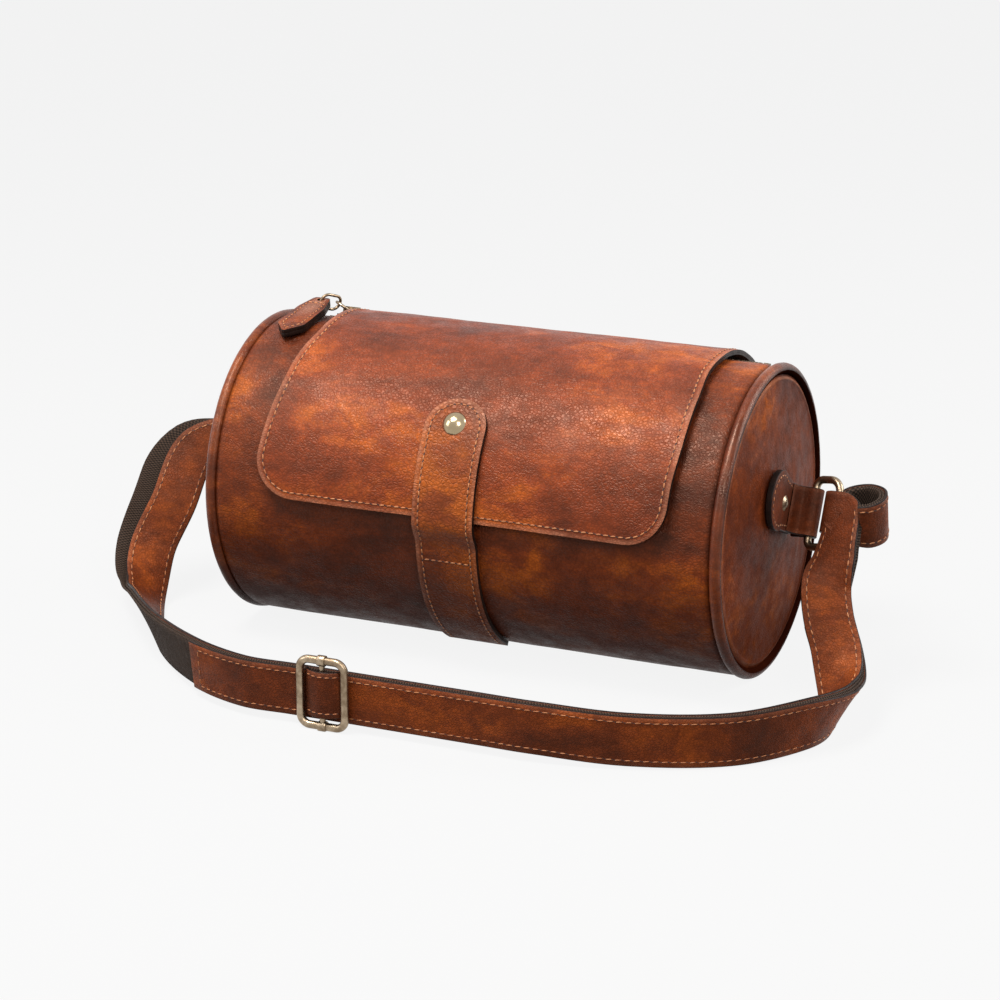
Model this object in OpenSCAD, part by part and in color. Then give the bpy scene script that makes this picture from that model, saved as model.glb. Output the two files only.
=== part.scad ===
// Leather barrel bag with a flap, a closure tab, a zip and a shoulder strap.
// Z is up, the floor is z = 0, X runs along the barrel and the front looks toward -Y.

/* [Barrel] */
// Length between the middle planes of the two piping rings
body_length = 276; // [200:1:360]
// Outside diameter of the leather barrel
body_d = 160; // [120:1:220]
// Thickness of the barrel leather
leather_t = 2; // [1.2:0.1:3]
// Thickness of the lining
lining_t = 0.8; // [0.5:0.1:1.5]
// Height of the dome of a round end
end_dome = 6; // [2:0.5:12]
// Thickness of the stiffening board in a round end
board_t = 1.5; // [0.8:0.1:3]

/* [Piping] */
// Diameter of the leather piping round an end
piping_d = 6.2; // [4:0.1:9]
// Thickness of the piping leather
piping_leather_t = 1.2; // [0.8:0.1:1.6]
// How far the piping stands out past the barrel
piping_proud = 0.6; // [0.2:0.1:1.5]

/* [Zip] */
// Place of the zip round the barrel, in degrees from the top, negative toward the rear
zip_angle = -17; // [-26:1:-12]
// Width of the slot in the leather
slot_w = 12; // [10:0.5:16]
// Width of one zip tape
tape_w = 12.4; // [9:0.1:16]
// Thickness of a zip tape
tape_t = 0.7; // [0.4:0.1:1]
// Distance between the teeth of one row
tooth_pitch = 3.2; // [2.4:0.1:4]
// Length of the slider along the zip
slider_l = 12.2; // [10:0.2:16]
// Width of the slider
slider_w = 9.5; // [8:0.1:11]
// Length of the leather puller
puller_l = 48; // [30:1:60]
// Width of the leather puller
puller_w = 15.5; // [12:0.5:20]

/* [Flap] */
// Where the sewn rear edge of the flap ends and its free part starts, in degrees from the top
flap_rear_angle = -36; // [-45:1:-30]
// Where the lower edge of the flap lies, in degrees from the top
flap_front_angle = 85; // [70:1:95]
// Radius of the outer face of the flap over the barrel, less the barrel's own
flap_rise = 4.5; // [3.5:0.1:6]
// Thickness of the flap leather
flap_leather_t = 1.5; // [1:0.1:2.5]
// Thickness of the flap lining
flap_lining_t = 0.9; // [0.5:0.1:1.5]
// Radius of the lower corners of the flap
flap_corner_r = 21; // [10:1:40]

/* [Closure tab] */
// Width of the closure tab
tab_w = 33; // [24:1:44]
// Place of the middle of the tab along the barrel
tab_x = -3; // [-40:1:40]
// Where the rounded end of the tab lies, in degrees from the top
tab_top_angle = 43; // [36:1:60]
// Where the cross stitching holds the tab, in degrees from the top
tab_sewn_angle = 101; // [95:1:115]
// Where the sewn tab ends under the barrel, in degrees from the top
tab_end_angle = 150; // [130:1:160]
// Diameter of the domed cap of the snap
cap_d = 12.5; // [8:0.5:16]
// Height of the domed cap of the snap
cap_h = 3.4; // [2:0.1:5]

/* [Side rings] */
// Diameter of the wire of a ring
ring_wire_d = 4; // [3:0.1:5]
// Inside length of a ring
ring_inside = 31; // [28:0.5:40]
// Depth of a ring between the middles of its bar and its bow
ring_depth = 16; // [13:0.5:22]
// Width of the leather loop that holds a ring
chape_loop_w = 25; // [18:0.5:27]
// Half width of the leather tongue on the end
chape_r = 15.5; // [13:0.5:20]
// Thickness of the leather tongue, of two plies
chape_t = 3; // [2:0.1:4]
// Diameter of the rivet head
rivet_d = 8; // [5:0.5:10]

/* [Strap] */
// Width of the strap
strap_w = 25; // [20:0.5:28]
// Thickness of one leather ply of the strap
strap_leather_t = 1.5; // [1:0.1:2]
// Thickness of one webbing ply of the strap
strap_webbing_t = 1.3; // [0.8:0.1:1.8]
// Width of the strap slider's frame along the strap
buckle_l = 28; // [22:0.5:36]
// Height of the strap slider's frame across the strap
buckle_h = 38; // [34:0.5:44]
// Diameter of the wire of the strap slider
buckle_wire_d = 4; // [3:0.1:5]
// Place of the strap slider along the front
buckle_x = -31; // [-45:1:20]

/* [Hidden] */

$fn = 48;

tan_leather = [0.55, 0.24, 0.10];
edge_leather = [0.40, 0.17, 0.08];
board_grey = [0.45, 0.42, 0.38];
lining_brown = [0.30, 0.22, 0.16];
webbing_brown = [0.16, 0.12, 0.10];
old_brass = [0.50, 0.42, 0.30];

// Gap between plies that lie on each other
layer_gap = 0.1;
// Overrun of every cut
cut = 1;
// Gap between a soft piece and what passes over it
soft_gap = 0.3;
// How far the barrel's underside is pressed flat by its own weight
floor_flat = 1;

body_r = body_d / 2;
half_l = body_length / 2;
piping_r = piping_d / 2;
piping_major = body_r + piping_proud - piping_r;
axis_z = body_r + piping_proud - floor_flat;

function arc(s, r) = s / r * 180 / PI;
function polar_y(r, a) = -r * sin(a);
function polar_z(r, a) = r * cos(a);
function polar(r, a) = [polar_y(r, a), polar_z(r, a)];

// Puts a piece on the barrel: its own Z points outward at the given angle, its own X along the barrel
module on_barrel(angle) translate([0, 0, axis_z]) rotate([angle, 0, 0]) children();

// Sector of a round shell about the barrel's axis
module barrel_shell(r_in, r_out, a0, a1, x0, x1)
    translate([0, 0, axis_z]) rotate([0, 90, 0]) rotate([0, 0, a0 + 180])
        rotate_extrude(angle = a1 - a0, $fn = 120)
            translate([r_in, x0]) square([r_out - r_in, x1 - x0]);

// Extrudes an outline drawn across the barrel, as [y, z from the axis], along X
module along_x(x0, x1)
    translate([x0, 0, axis_z]) rotate([90, 0, 90]) linear_extrude(x1 - x0) children();

module floor_cut() {
    reach = body_length + body_d;
    translate([-reach / 2, -reach / 2, -reach]) cube([reach, reach, reach]);
}

module right_end(side) mirror([side < 0 ? 1 : 0, 0, 0]) children();

// ---- barrel ----

slot_arc = arc(slot_w / 2, body_r);
// Leather left between the end of the slot and the piping's middle plane
slot_margin = 7;
slot_x = half_l - slot_margin;

module piping_ring(side, r)
    right_end(side) translate([half_l, 0, axis_z]) rotate([0, 90, 0])
        rotate_extrude($fn = 120) translate([piping_major, 0]) circle(r);

module body_shell() color(tan_leather) difference() {
    barrel_shell(body_r - leather_t, body_r, 0, 360, -half_l, half_l);
    piping_ring(-1, piping_r + layer_gap / 2);
    piping_ring(1, piping_r + layer_gap / 2);
    barrel_shell(body_r - leather_t - cut, body_r + cut, zip_angle - slot_arc,
        zip_angle + slot_arc, -slot_x, slot_x);
    floor_cut();
}

// ---- round ends ----

// Width of the end panel's rim that turns down behind the piping
rim_inset = 5;
// How far the rim of the end panel stands past the piping's middle plane
rim_out = 0.8;
// Thickness of the end panel
panel_t = 2;
dome_base_r = body_r - rim_inset;
dome_r = (dome_base_r * dome_base_r + end_dome * end_dome) / (2 * end_dome);
dome_x = half_l + rim_out + end_dome;
board_depth = panel_t + layer_gap;
cap_depth = board_depth + board_t + layer_gap;
// Gap between the board's edge and the piping seam
board_inset = 6.2;
board_r = body_r - board_inset;
// How far the panel's edge runs on behind the piping
rim_turn = 1;

// Domed slab at a depth under the end's outer face
module dome_slab(depth, t, r)
    translate([dome_x - dome_r, 0, axis_z]) rotate([0, 90, 0]) rotate_extrude($fn = 120) intersection() {
        difference() {
            circle(dome_r - depth, $fn = 720);
            circle(dome_r - depth - t, $fn = 720);
        }
        translate([0, dome_r / 2]) square([r, dome_r]);
    }

module end_panel(side) color(tan_leather) right_end(side) difference() {
    dome_slab(0, panel_t, dome_base_r + rim_turn);
    piping_ring(1, piping_r + layer_gap / 2);
}
module end_panel_left() end_panel(-1);
module end_panel_right() end_panel(1);

module end_board(side) color(board_grey) right_end(side) dome_slab(board_depth, board_t, board_r);
module end_board_left() end_board(-1);
module end_board_right() end_board(1);

// ---- lining ----

lining_r = body_r - leather_t - layer_gap;
// Gap between the lining and the ends of the zip tapes
tape_end_gap = 0.2;
tape_run_on = 2.5;
tape_x = slot_x + tape_run_on;
// Gap between the middle of the zip and a tape's edge
tape_edge = 0.6;
lining_slot = tape_edge + tape_w + 3 * soft_gap;
lining_x = dome_x - dome_r - lining_t / 2
    + sqrt(pow(dome_r - cap_depth, 2) - pow(lining_r - lining_t / 2, 2));

module body_lining() color(lining_brown) {
    difference() {
        barrel_shell(lining_r - lining_t, lining_r, 0, 360, -lining_x, lining_x);
        barrel_shell(lining_r - lining_t - cut, lining_r + cut, zip_angle - arc(lining_slot, body_r),
            zip_angle + arc(lining_slot, body_r), -tape_x - tape_end_gap, tape_x + tape_end_gap);
    }
    for (side = [-1, 1]) right_end(side) dome_slab(cap_depth, lining_t, lining_r - lining_t / 2);
}

// ---- piping ----

// Gap round the cord in the piping
core_gap = 0.1;

module piping(side) color(edge_leather) difference() {
    piping_ring(side, piping_r);
    piping_ring(side, piping_r - piping_leather_t);
    floor_cut();
}
module piping_left() piping(-1);
module piping_right() piping(1);
module piping_cores() color(board_grey)
    for (side = [-1, 1]) piping_ring(side, piping_r - piping_leather_t - core_gap);

// ---- zip ----

tape_r = body_r - leather_t - layer_gap;

module zip_tape(front) {
    a0 = zip_angle + (front ? arc(tape_edge, tape_r) : -arc(tape_edge + tape_w, tape_r));
    color(webbing_brown) barrel_shell(tape_r - tape_t, tape_r, a0, a0 + arc(tape_w, tape_r), -tape_x, tape_x);
}
module zip_tape_front() zip_tape(true);
module zip_tape_rear() zip_tape(false);

// One tooth, seen from above: it grips the tape and its nose reaches past the middle
tooth_w = 1.4;
tooth_reach = 0.9;
tooth_grip = 2.9;
tooth_nose_w = 0.9;
tooth_shoulder = 0.1;
// How far the teeth stand over and under the tape
tooth_over = 1.3;
tooth_under = 0.6;
tooth_clear = 0.05;
slider_x = -106;
slider_gap = 1;
teeth_x0 = slider_x + slider_l / 2 + slider_gap;
stop_l = 2;
teeth_x1 = slot_x - stop_l - tooth_pitch / 2;

module tooth_plan()
    polygon([[-tooth_w / 2, -tooth_grip], [tooth_w / 2, -tooth_grip], [tooth_w / 2, -tooth_shoulder],
        [tooth_nose_w / 2, tooth_reach], [-tooth_nose_w / 2, tooth_reach], [-tooth_w / 2, -tooth_shoulder]]);

// Room for both tapes in a tooth or a stop
module tape_slots() for (front = [true, false])
    barrel_shell(tape_r - tape_t - tooth_clear, tape_r + tooth_clear,
        zip_angle + (front ? arc(tape_edge - tooth_clear, tape_r) : -arc(tape_edge + tape_w, tape_r)),
        zip_angle + (front ? arc(tape_edge + tape_w, tape_r) : -arc(tape_edge - tooth_clear, tape_r)),
        -tape_x, tape_x);

module zip_teeth(front) {
    count = floor((teeth_x1 - teeth_x0) / tooth_pitch);
    color(old_brass) difference() {
        on_barrel(zip_angle) translate([0, 0, tape_r - tape_t - tooth_under])
            for (i = [0 : count - 1])
                translate([teeth_x0 + (i + (front ? 0.25 : 0.75)) * tooth_pitch, 0, 0])
                    mirror([0, front ? 0 : 1, 0])
                        linear_extrude(tooth_under + tape_t + tooth_over) tooth_plan();
        tape_slots();
    }
}
module zip_teeth_front() zip_teeth(true);
module zip_teeth_rear() zip_teeth(false);

// Stops: one on each tape before the slider, one across both at the far end
top_stop_gap = 3;
module zip_stops() color(old_brass) difference() {
    on_barrel(zip_angle) translate([0, 0, tape_r - tape_t - tooth_under]) {
        for (side = [-1, 1])
            translate([slider_x - slider_l / 2 - top_stop_gap - stop_l, side > 0 ? layer_gap : -tooth_grip, 0])
                cube([stop_l, tooth_grip - layer_gap, tooth_under + tape_t + tooth_over]);
        translate([teeth_x1, -tooth_grip, 0])
            cube([stop_l, 2 * tooth_grip, tooth_under + tape_t + tooth_over]);
    }
    tape_slots();
}

// Slider: two wings with flanges, a divider at the open end and a bridge for the bail
wing_t = 1.2;
wing_gap_out = 0.2;
slider_nose_w = 7.5;
flange_t = 1;
flange_gap = 0.15;
divider_l = 2;
divider_w = 1;
bridge_w = 2.6;
bridge_l = 9;
bridge_t = 1.4;
bridge_leg = 1.2;
bridge_open = 3;
wing_top = tape_r + tooth_over + wing_gap_out;
wing_low = tape_r - tape_t - tooth_under - wing_gap_out;
tape_sag = slider_w * slider_w / (8 * tape_r);

module slider_plan()
    polygon([[-slider_l / 2, -slider_w / 2], [slider_l / 4, -slider_w / 2], [slider_l / 2, -slider_nose_w / 2],
        [slider_l / 2, slider_nose_w / 2], [slider_l / 4, slider_w / 2], [-slider_l / 2, slider_w / 2]]);

module slider_flange(z0, z1)
    translate([0, 0, z0]) linear_extrude(z1 - z0) difference() {
        slider_plan();
        square([slider_l + cut, slider_nose_w - 2 * flange_t], center = true);
    }

module zip_slider() color(old_brass) on_barrel(zip_angle) translate([slider_x, 0, 0]) {
    translate([0, 0, wing_top]) linear_extrude(wing_t) slider_plan();
    translate([0, 0, wing_low - wing_t]) linear_extrude(wing_t) slider_plan();
    slider_flange(tape_r + flange_gap, wing_top + wing_t / 2);
    slider_flange(wing_low - wing_t / 2, tape_r - tape_t - tape_sag - flange_gap);
    translate([-slider_l / 2, -divider_w / 2, wing_low - wing_t / 2])
        cube([divider_l, divider_w, wing_top - wing_low + wing_t]);
    translate([-bridge_l / 2, 0, wing_top + wing_t / 2]) difference() {
        translate([0, -bridge_w / 2, 0]) cube([bridge_l, bridge_w, wing_t / 2 + bridge_open + bridge_t]);
        translate([bridge_leg, -bridge_w, wing_t / 2])
            cube([bridge_l - 2 * bridge_leg, 2 * bridge_w, bridge_open]);
    }
}

// Bail and link: two rings, each drawn from the point where it hangs
bail_r = 4.2;
zip_wire_d = 1.6;
bail_turn = 22;
bail_rise = 28;
bail_place_share = 0.12;
ring_play = 0.15;
link_l = 13;
link_w = 8;
link_turn = 46.4;
link_dip = -17.3;
link_roll = 95.5;
bail_x = slider_x - bail_place_share * bridge_l;
bail_z = wing_top + wing_t + bridge_open - zip_wire_d / 2 - ring_play;

module at_bail() on_barrel(zip_angle) translate([bail_x, 0, bail_z]) children();
module bail_frame() at_bail() rotate([0, 0, bail_turn]) rotate([0, bail_rise, 0]) children();
module link_frame() bail_frame() translate([-2 * bail_r + zip_wire_d + ring_play, 0, 0])
    rotate([0, 0, link_turn]) rotate([0, link_dip, 0]) rotate([link_roll, 0, 0]) children();

module zip_bail() color(old_brass) bail_frame() translate([-bail_r, 0, 0])
    rotate_extrude() translate([bail_r, 0]) circle(d = zip_wire_d, $fn = 24);

module zip_link() color(old_brass) link_frame() {
    end_r = link_w / 2;
    run = link_l - link_w;
    translate([-end_r, 0, 0]) rotate([0, 0, -90]) rotate_extrude(angle = 180)
        translate([end_r, 0]) circle(d = zip_wire_d, $fn = 24);
    translate([-end_r - run, 0, 0]) rotate([0, 0, 90]) rotate_extrude(angle = 180)
        translate([end_r, 0]) circle(d = zip_wire_d, $fn = 24);
    for (side = [-1, 1]) translate([-end_r - run, side * end_r, 0]) rotate([0, 90, 0])
        cylinder(d = zip_wire_d, h = run, $fn = 24);
}

// Puller: two leather plies in a plane that touches the barrel's front
puller_angle = 8;
puller_x = -118.3;
puller_lift = 0.3;
puller_t = 2;
puller_top = 27;
puller_top_w = 9;
puller_shoulder = 14;
puller_point = 10;
puller_bore_d = 3.8;
puller_bore_in = 2.8;

module puller_plan() difference() {
    polygon([[-puller_top_w / 2, puller_top], [puller_top_w / 2, puller_top],
        [puller_w / 2, puller_top - puller_shoulder], [puller_w / 2, puller_top - puller_l + puller_point],
        [0, puller_top - puller_l], [-puller_w / 2, puller_top - puller_l + puller_point],
        [-puller_w / 2, puller_top - puller_shoulder]]);
    translate([0, puller_top - puller_bore_in]) circle(d = puller_bore_d);
}
module puller_ply(z) on_barrel(puller_angle)
    translate([puller_x, 0, z]) linear_extrude(puller_t) puller_plan();
module zip_puller_back() color(edge_leather) puller_ply(body_r + puller_lift);
module zip_puller_front() color(tan_leather) puller_ply(body_r + puller_lift + puller_t + layer_gap);

// ---- flap ----

flap_r = body_r + flap_rise;
flap_mid_r = flap_r - flap_leather_t - layer_gap;
flap_in_r = flap_mid_r - flap_lining_t;
// Run of the sewn strip behind the free part
strip_angle = 6;
strip_gap = 0.25;
strip_low = 1.5;
// Sides of the flap, as shares of half the barrel's length, at angles from the top
flap_left_shares = [[-40, -0.710], [-28, -0.717], [-15, -0.728], [15, -0.728], [36, -0.755],
    [73, -0.793], [90, -0.800]];
flap_right_shares = [[-40, 0.819], [-15, 0.822], [15, 0.822], [30, 0.835], [50, 0.836], [64, 0.826], [90, 0.820]];
outline_steps = 12;
corner_steps = 10;

function flap_x(table, a) = half_l * lookup(a, table);
function flap_point(x, a, r) = [x, r * cos(a)];

// One side of the front outline, from the top to the corner, then round the corner to the lower edge
function flap_side(table, sign, r, front) = let (
        edge = front, turn = arc(flap_corner_r, r), knee = edge - turn)
    concat(
        [for (i = [0 : outline_steps]) let (a = knee * i / outline_steps)
            flap_point(flap_x(table, a), a, r)],
        [for (i = [1 : corner_steps]) let (b = 90 * i / corner_steps)
            flap_point(flap_x(table, knee) - sign * flap_corner_r * (1 - cos(b)),
                knee + turn * sin(b), r)]);

function rear_side(table, r) =
    [for (i = [outline_steps : -1 : 0]) let (a = (flap_rear_angle - strip_angle) * i / outline_steps)
        flap_point(flap_x(table, a), a, r)];
function rear_right(table, r) = flipped(rear_side(table, r));

function flipped(list) = [for (i = [len(list) - 1 : -1 : 0]) list[i]];

// One layer of the flap: its front half and its rear half, each cut to its own outline
module flap_layer(r_in, r_out) {
    reach = flap_r + cut;
    top = [[flap_x(flap_right_shares, 0), reach], [flap_x(flap_left_shares, 0), reach]];
    intersection() {
        barrel_shell(r_in, r_out, 0, flap_front_angle, -half_l, half_l);
        translate([0, cut, axis_z]) rotate([90, 0, 0]) linear_extrude(reach + cut)
            polygon(concat(flap_side(flap_left_shares, -1, r_out, flap_front_angle),
                flipped(flap_side(flap_right_shares, 1, r_out, flap_front_angle)), top));
    }
    intersection() {
        barrel_shell(r_in, r_out, flap_rear_angle, 0, -half_l, half_l);
        translate([0, reach, axis_z]) rotate([90, 0, 0]) linear_extrude(reach + cut)
            polygon(concat(rear_side(flap_left_shares, r_out), flipped(top), rear_right(flap_right_shares, r_out)));
    }
}

cap_x = tab_x - 1;
cap_angle = tab_top_angle + 9.2;
disc_r = 6;
disc_play = 0.1;
disc_sag = disc_r * disc_r / (2 * flap_r);
disc_top = flap_r - disc_sag;

module flap_outer() color(tan_leather) difference() {
    flap_layer(flap_mid_r + layer_gap, flap_r);
    on_barrel(cap_angle) translate([cap_x, 0, flap_mid_r - layer_gap]) cylinder(r = disc_r + disc_play, h = 2 * flap_leather_t + cut);
}
module flap_lining() color(lining_brown) flap_layer(flap_in_r, flap_mid_r);
module flap_magnet() color(old_brass) on_barrel(cap_angle)
    translate([cap_x, 0, flap_mid_r + layer_gap]) cylinder(r = disc_r, h = disc_top - flap_mid_r - layer_gap);

module flap_seam_strip() color(tan_leather) difference() {
    along_x(flap_x(flap_left_shares, flap_rear_angle), flap_x(flap_right_shares, flap_rear_angle))
        polygon([polar(body_r - leather_t / 2, flap_rear_angle - strip_gap),
            polar(flap_r, flap_rear_angle - strip_gap),
            polar(body_r + strip_low, flap_rear_angle - strip_angle),
            polar(body_r - leather_t / 2, flap_rear_angle - strip_angle)]);
    translate([-half_l, 0, axis_z]) rotate([0, 90, 0])
        cylinder(r = body_r + layer_gap, h = body_length, $fn = 120);
}

// ---- closure tab ----

tab_leather_t = 1.5;
tab_lining_t = 0.9;
tab_on_flap = flap_r + layer_gap;
tab_on_body = body_r + layer_gap;
// Angles over which the tab steps down from the flap to the barrel
tab_step_angle = 9;
tab_clear_angle = 1.5;
tab_tip_r = tab_w / 2;
tab_gap_angle = 0.2;
tab_segment = 2.5;

function tab_radius(a) = a <= flap_front_angle + tab_clear_angle ? tab_on_flap
    : a >= flap_front_angle + tab_clear_angle + tab_step_angle ? tab_on_body
    : let (t = (a - flap_front_angle - tab_clear_angle) / tab_step_angle, s = t * t * (3 - 2 * t))
        tab_on_flap + (tab_on_body - tab_on_flap) * s;

// Strip that follows the flap and the barrel, from one angle to another
module tab_profile(a0, a1, lift, t) {
    steps = ceil((a1 - a0) / tab_segment);
    angles = [for (i = [0 : steps]) a0 + (a1 - a0) * i / steps];
    polygon(concat([for (a = angles) polar(tab_radius(a) + lift + t, a)],
        [for (a = flipped(angles)) polar(tab_radius(a) + lift, a)]));
}
module tab_strip(a0, a1, lift, t) along_x(tab_x - tab_w / 2, tab_x + tab_w / 2) tab_profile(a0, a1, lift, t);

module tab_round() {
    view_angle = tab_top_angle + arc(tab_tip_r, flap_r);
    reach = body_d;
    on_barrel(view_angle) translate([tab_x, 0, 0]) linear_extrude(reach) {
        circle(tab_tip_r, $fn = 64);
        translate([-tab_w / 2, -reach]) square([tab_w, reach]);
    }
}

module closure_tab() color(tan_leather) difference() {
    intersection() {
        tab_strip(tab_top_angle - 1, tab_sewn_angle, tab_lining_t + layer_gap, tab_leather_t);
        tab_round();
    }
    cap_stem(disc_play);
}
module closure_tab_lining() color(lining_brown) difference() {
    intersection() {
        tab_strip(tab_top_angle - 1, tab_sewn_angle, 0, tab_lining_t);
        tab_round();
    }
    on_barrel(cap_angle) translate([cap_x, 0, flap_r - cut]) cylinder(r = disc_r + disc_play, h = tab_lining_t + 2 * cut);
}
module closure_tab_base() color(tan_leather)
    tab_strip(tab_sewn_angle + tab_gap_angle, tab_end_angle, 0, tab_lining_t + layer_gap + tab_leather_t);

cap_z = tab_on_flap + tab_lining_t + layer_gap + tab_leather_t;
cap_stem_d = 3;

module cap_stem(play) on_barrel(cap_angle) translate([cap_x, 0, cap_z - tab_leather_t - layer_gap / 2])
    cylinder(d = cap_stem_d + 2 * play, h = tab_leather_t + cut);

module snap_cap() color(old_brass) {
    cap_r = cap_d / 2;
    ball_r = (cap_r * cap_r + cap_h * cap_h) / (2 * cap_h);
    on_barrel(cap_angle) translate([cap_x, 0, cap_z]) rotate_extrude() intersection() {
        translate([0, cap_h - ball_r]) circle(ball_r, $fn = 96);
        square([cap_r, cap_h]);
    }
    cap_stem(0);
}
module tab_magnet() color(old_brass) on_barrel(cap_angle)
    translate([cap_x, 0, tab_on_flap + layer_gap / 2]) cylinder(r = disc_r, h = tab_lining_t - layer_gap / 2 - disc_sag);

// ---- side rings ----

// Tilt of the ring's bar from upright, and its place over and behind the barrel's axis
chape_tilt = 28;
chape_rise = 9;
chape_bore_gap = 0.08;
chape_plate_x = dome_x + layer_gap;
tongue_back = 13.5;
tongue_neck = 6.5;
tongue_neck_w = 25;
loop_y = 12;
loop_leather_t = 2.5;
loop_out = 4.6;
loop_x = chape_plate_x + chape_t + ring_wire_d / 2 + loop_leather_t + loop_out;
ring_lean = 25;
ring_r = ring_wire_d / 2;
loop_r = ring_r + loop_leather_t;
ring_bar_r = 4;
ring_bow_r = 7;
rivet_back = 7;
rivet_h = 1.6;
rivet_stem_d = 3;
bow_x = loop_x + ring_depth * cos(ring_lean);

// Frame of the side hardware: own X is outward, own Y toward the loop, own Z along the ring's bar
module side_frame(side) right_end(side) translate([0, 0, axis_z]) rotate([-chape_tilt, 0, 0])
    translate([0, 0, chape_rise]) children();

module chape_tongue() {
    translate([-tongue_back, 0]) circle(chape_r, $fn = 64);
    polygon([[-tongue_back, -chape_r], [tongue_neck, -tongue_neck_w / 2],
        [loop_y, -chape_loop_w / 2], [loop_y, chape_loop_w / 2],
        [tongue_neck, tongue_neck_w / 2], [-tongue_back, chape_r]]);
}

module chape(side) color(tan_leather) side_frame(side) difference() {
    union() {
        translate([chape_plate_x, 0, 0]) rotate([90, 0, 90]) linear_extrude(chape_t) chape_tongue();
        translate([0, 0, -chape_loop_w / 2]) linear_extrude(chape_loop_w) {
            translate([loop_x, loop_y]) circle(loop_r);
            polygon([[chape_plate_x, loop_y - loop_r - chape_t], [chape_plate_x + chape_t, loop_y - loop_r - chape_t],
                [loop_x - loop_r, loop_y - loop_leather_t], [loop_x, loop_y - loop_leather_t],
                [loop_x, loop_y + loop_leather_t], [loop_x - loop_r, loop_y + loop_leather_t],
                [chape_plate_x + chape_t, loop_y + loop_r], [chape_plate_x, loop_y + loop_r]]);
        }
    }
    translate([loop_x, loop_y, -chape_loop_w]) cylinder(r = ring_r + chape_bore_gap, h = 2 * chape_loop_w);
    rivet_place() cylinder(d = rivet_stem_d + 2 * chape_bore_gap, h = 3 * chape_t, center = true);
}
module rivet_place() translate([chape_plate_x + chape_t, -rivet_back, 0]) rotate([0, 90, 0]) children();

module chape_left() chape(-1);
module chape_right() chape(1);

module chape_rivets() color(old_brass) for (side = [-1, 1]) side_frame(side) rivet_place() {
    head_r = rivet_d / 2;
    ball_r = (head_r * head_r + rivet_h * rivet_h) / (2 * rivet_h);
    rotate_extrude() intersection() {
        translate([0, rivet_h - ball_r]) circle(ball_r, $fn = 72);
        square([head_r, rivet_h]);
    }
    translate([0, 0, -chape_t + layer_gap]) cylinder(d = rivet_stem_d, h = chape_t);
}

// D shaped ring: a straight bar in the leather loop and a bow with wide corners
module bent_wire(r_bend, wire_r) rotate_extrude(angle = 90) translate([r_bend, 0]) circle(wire_r, $fn = 32);

module d_ring(side) color(old_brass) side_frame(side) translate([loop_x, loop_y, 0]) rotate([0, 0, -ring_lean]) {
    top = ring_inside / 2 + ring_r;
    for (up = [0, 1]) mirror([0, 0, up]) rotate([90, 0, 0]) {
        translate([ring_bar_r, top - ring_bar_r, 0]) rotate([0, 0, 90]) bent_wire(ring_bar_r, ring_r);
        translate([ring_depth - ring_bow_r, top - ring_bow_r, 0]) bent_wire(ring_bow_r, ring_r);
        translate([ring_bar_r, top, 0]) rotate([0, 90, 0])
            cylinder(r = ring_r, h = ring_depth - ring_bar_r - ring_bow_r, $fn = 32);
    }
    translate([0, 0, ring_bar_r - top]) cylinder(r = ring_r, h = 2 * (top - ring_bar_r), $fn = 32);
    translate([ring_depth, 0, ring_bow_r - top]) cylinder(r = ring_r, h = 2 * (top - ring_bow_r), $fn = 32);
}
module d_ring_left() d_ring(-1);
module d_ring_right() d_ring(1);

// ---- strap ----

// Middle of the bow, from the barrel's axis
bow_back = loop_y - ring_depth * sin(ring_lean);
bow_y = bow_back * cos(chape_tilt) + chape_rise * sin(chape_tilt);
bow_z = chape_rise * cos(chape_tilt) - bow_back * sin(chape_tilt);
bow_dir = [0, sin(chape_tilt), cos(chape_tilt)];
bow_side = [0, cos(chape_tilt), -sin(chape_tilt)];
wrap_gap = 0.8;
wrap_r = ring_r + wrap_gap;
buckle_r = buckle_wire_d / 2;
// Height of the strap's middle where the slider holds it off the floor
front_z = strap_w / 2 + buckle_wire_d + soft_gap;
front_y = -2 * body_r;
strap_steps = 4;

// Offsets of the four plies from the middle of the strap
web_in = layer_gap;
web_out = web_in + strap_webbing_t;
face_in = web_out + layer_gap;
face_out = face_in + strap_leather_t;

// A place of the strap: middle point and direction from the upper to the lower edge.
// X is a share of half the barrel's length, Y of its radius and the height of its radius.
function spot(xs, ys, zs, w) = [[xs * half_l, ys * body_r, axis_z + zs * body_r], w];
// A place with the lower edge on the floor, lifted by a share of the stack of plies
function floor_spot(xs, ys, w, lift_share) =
    [[xs * half_l, ys * body_r, -w[2] / norm(w) * strap_w / 2 + lift_share * face_out], w];
function front_spot(xs) = [[xs * half_l, front_y, front_z], [0, 0, -1]];

left_spots = [
    spot(-1.40, 0.06, -0.06, [0.5, -0.30, -0.80]),
    spot(-1.43, -0.18, -0.37, [0.80, 0.16, -0.45]),
    spot(-1.47, -0.36, -0.64, [0.84, 0.30, -0.42]),
    floor_spot(-1.44, -0.58, [0.60, 0.55, -0.58], 1),
    floor_spot(-1.32, -0.93, [0.35, 0.55, -0.75], 1),
    floor_spot(-1.12, -1.38, [0, 0.40, -0.90], 0.8),
    [[-0.80 * half_l, -1.84 * body_r, front_z], [0, 0.1, -1]],
    front_spot(-0.56)];
middle_spots = [front_spot(-0.36), front_spot(0), front_spot(0.36)];
right_spots = [
    front_spot(0.56),
    floor_spot(0.88, -1.88, [0, 0, -1], 0.6),
    floor_spot(1.20, -1.60, [0, 0, -1], 0.2),
    floor_spot(1.385, -1.22, [-0.12, 0, -0.99], 0.5),
    floor_spot(1.43, -0.76, [-0.38, 0.20, -0.91], 1)];
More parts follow.
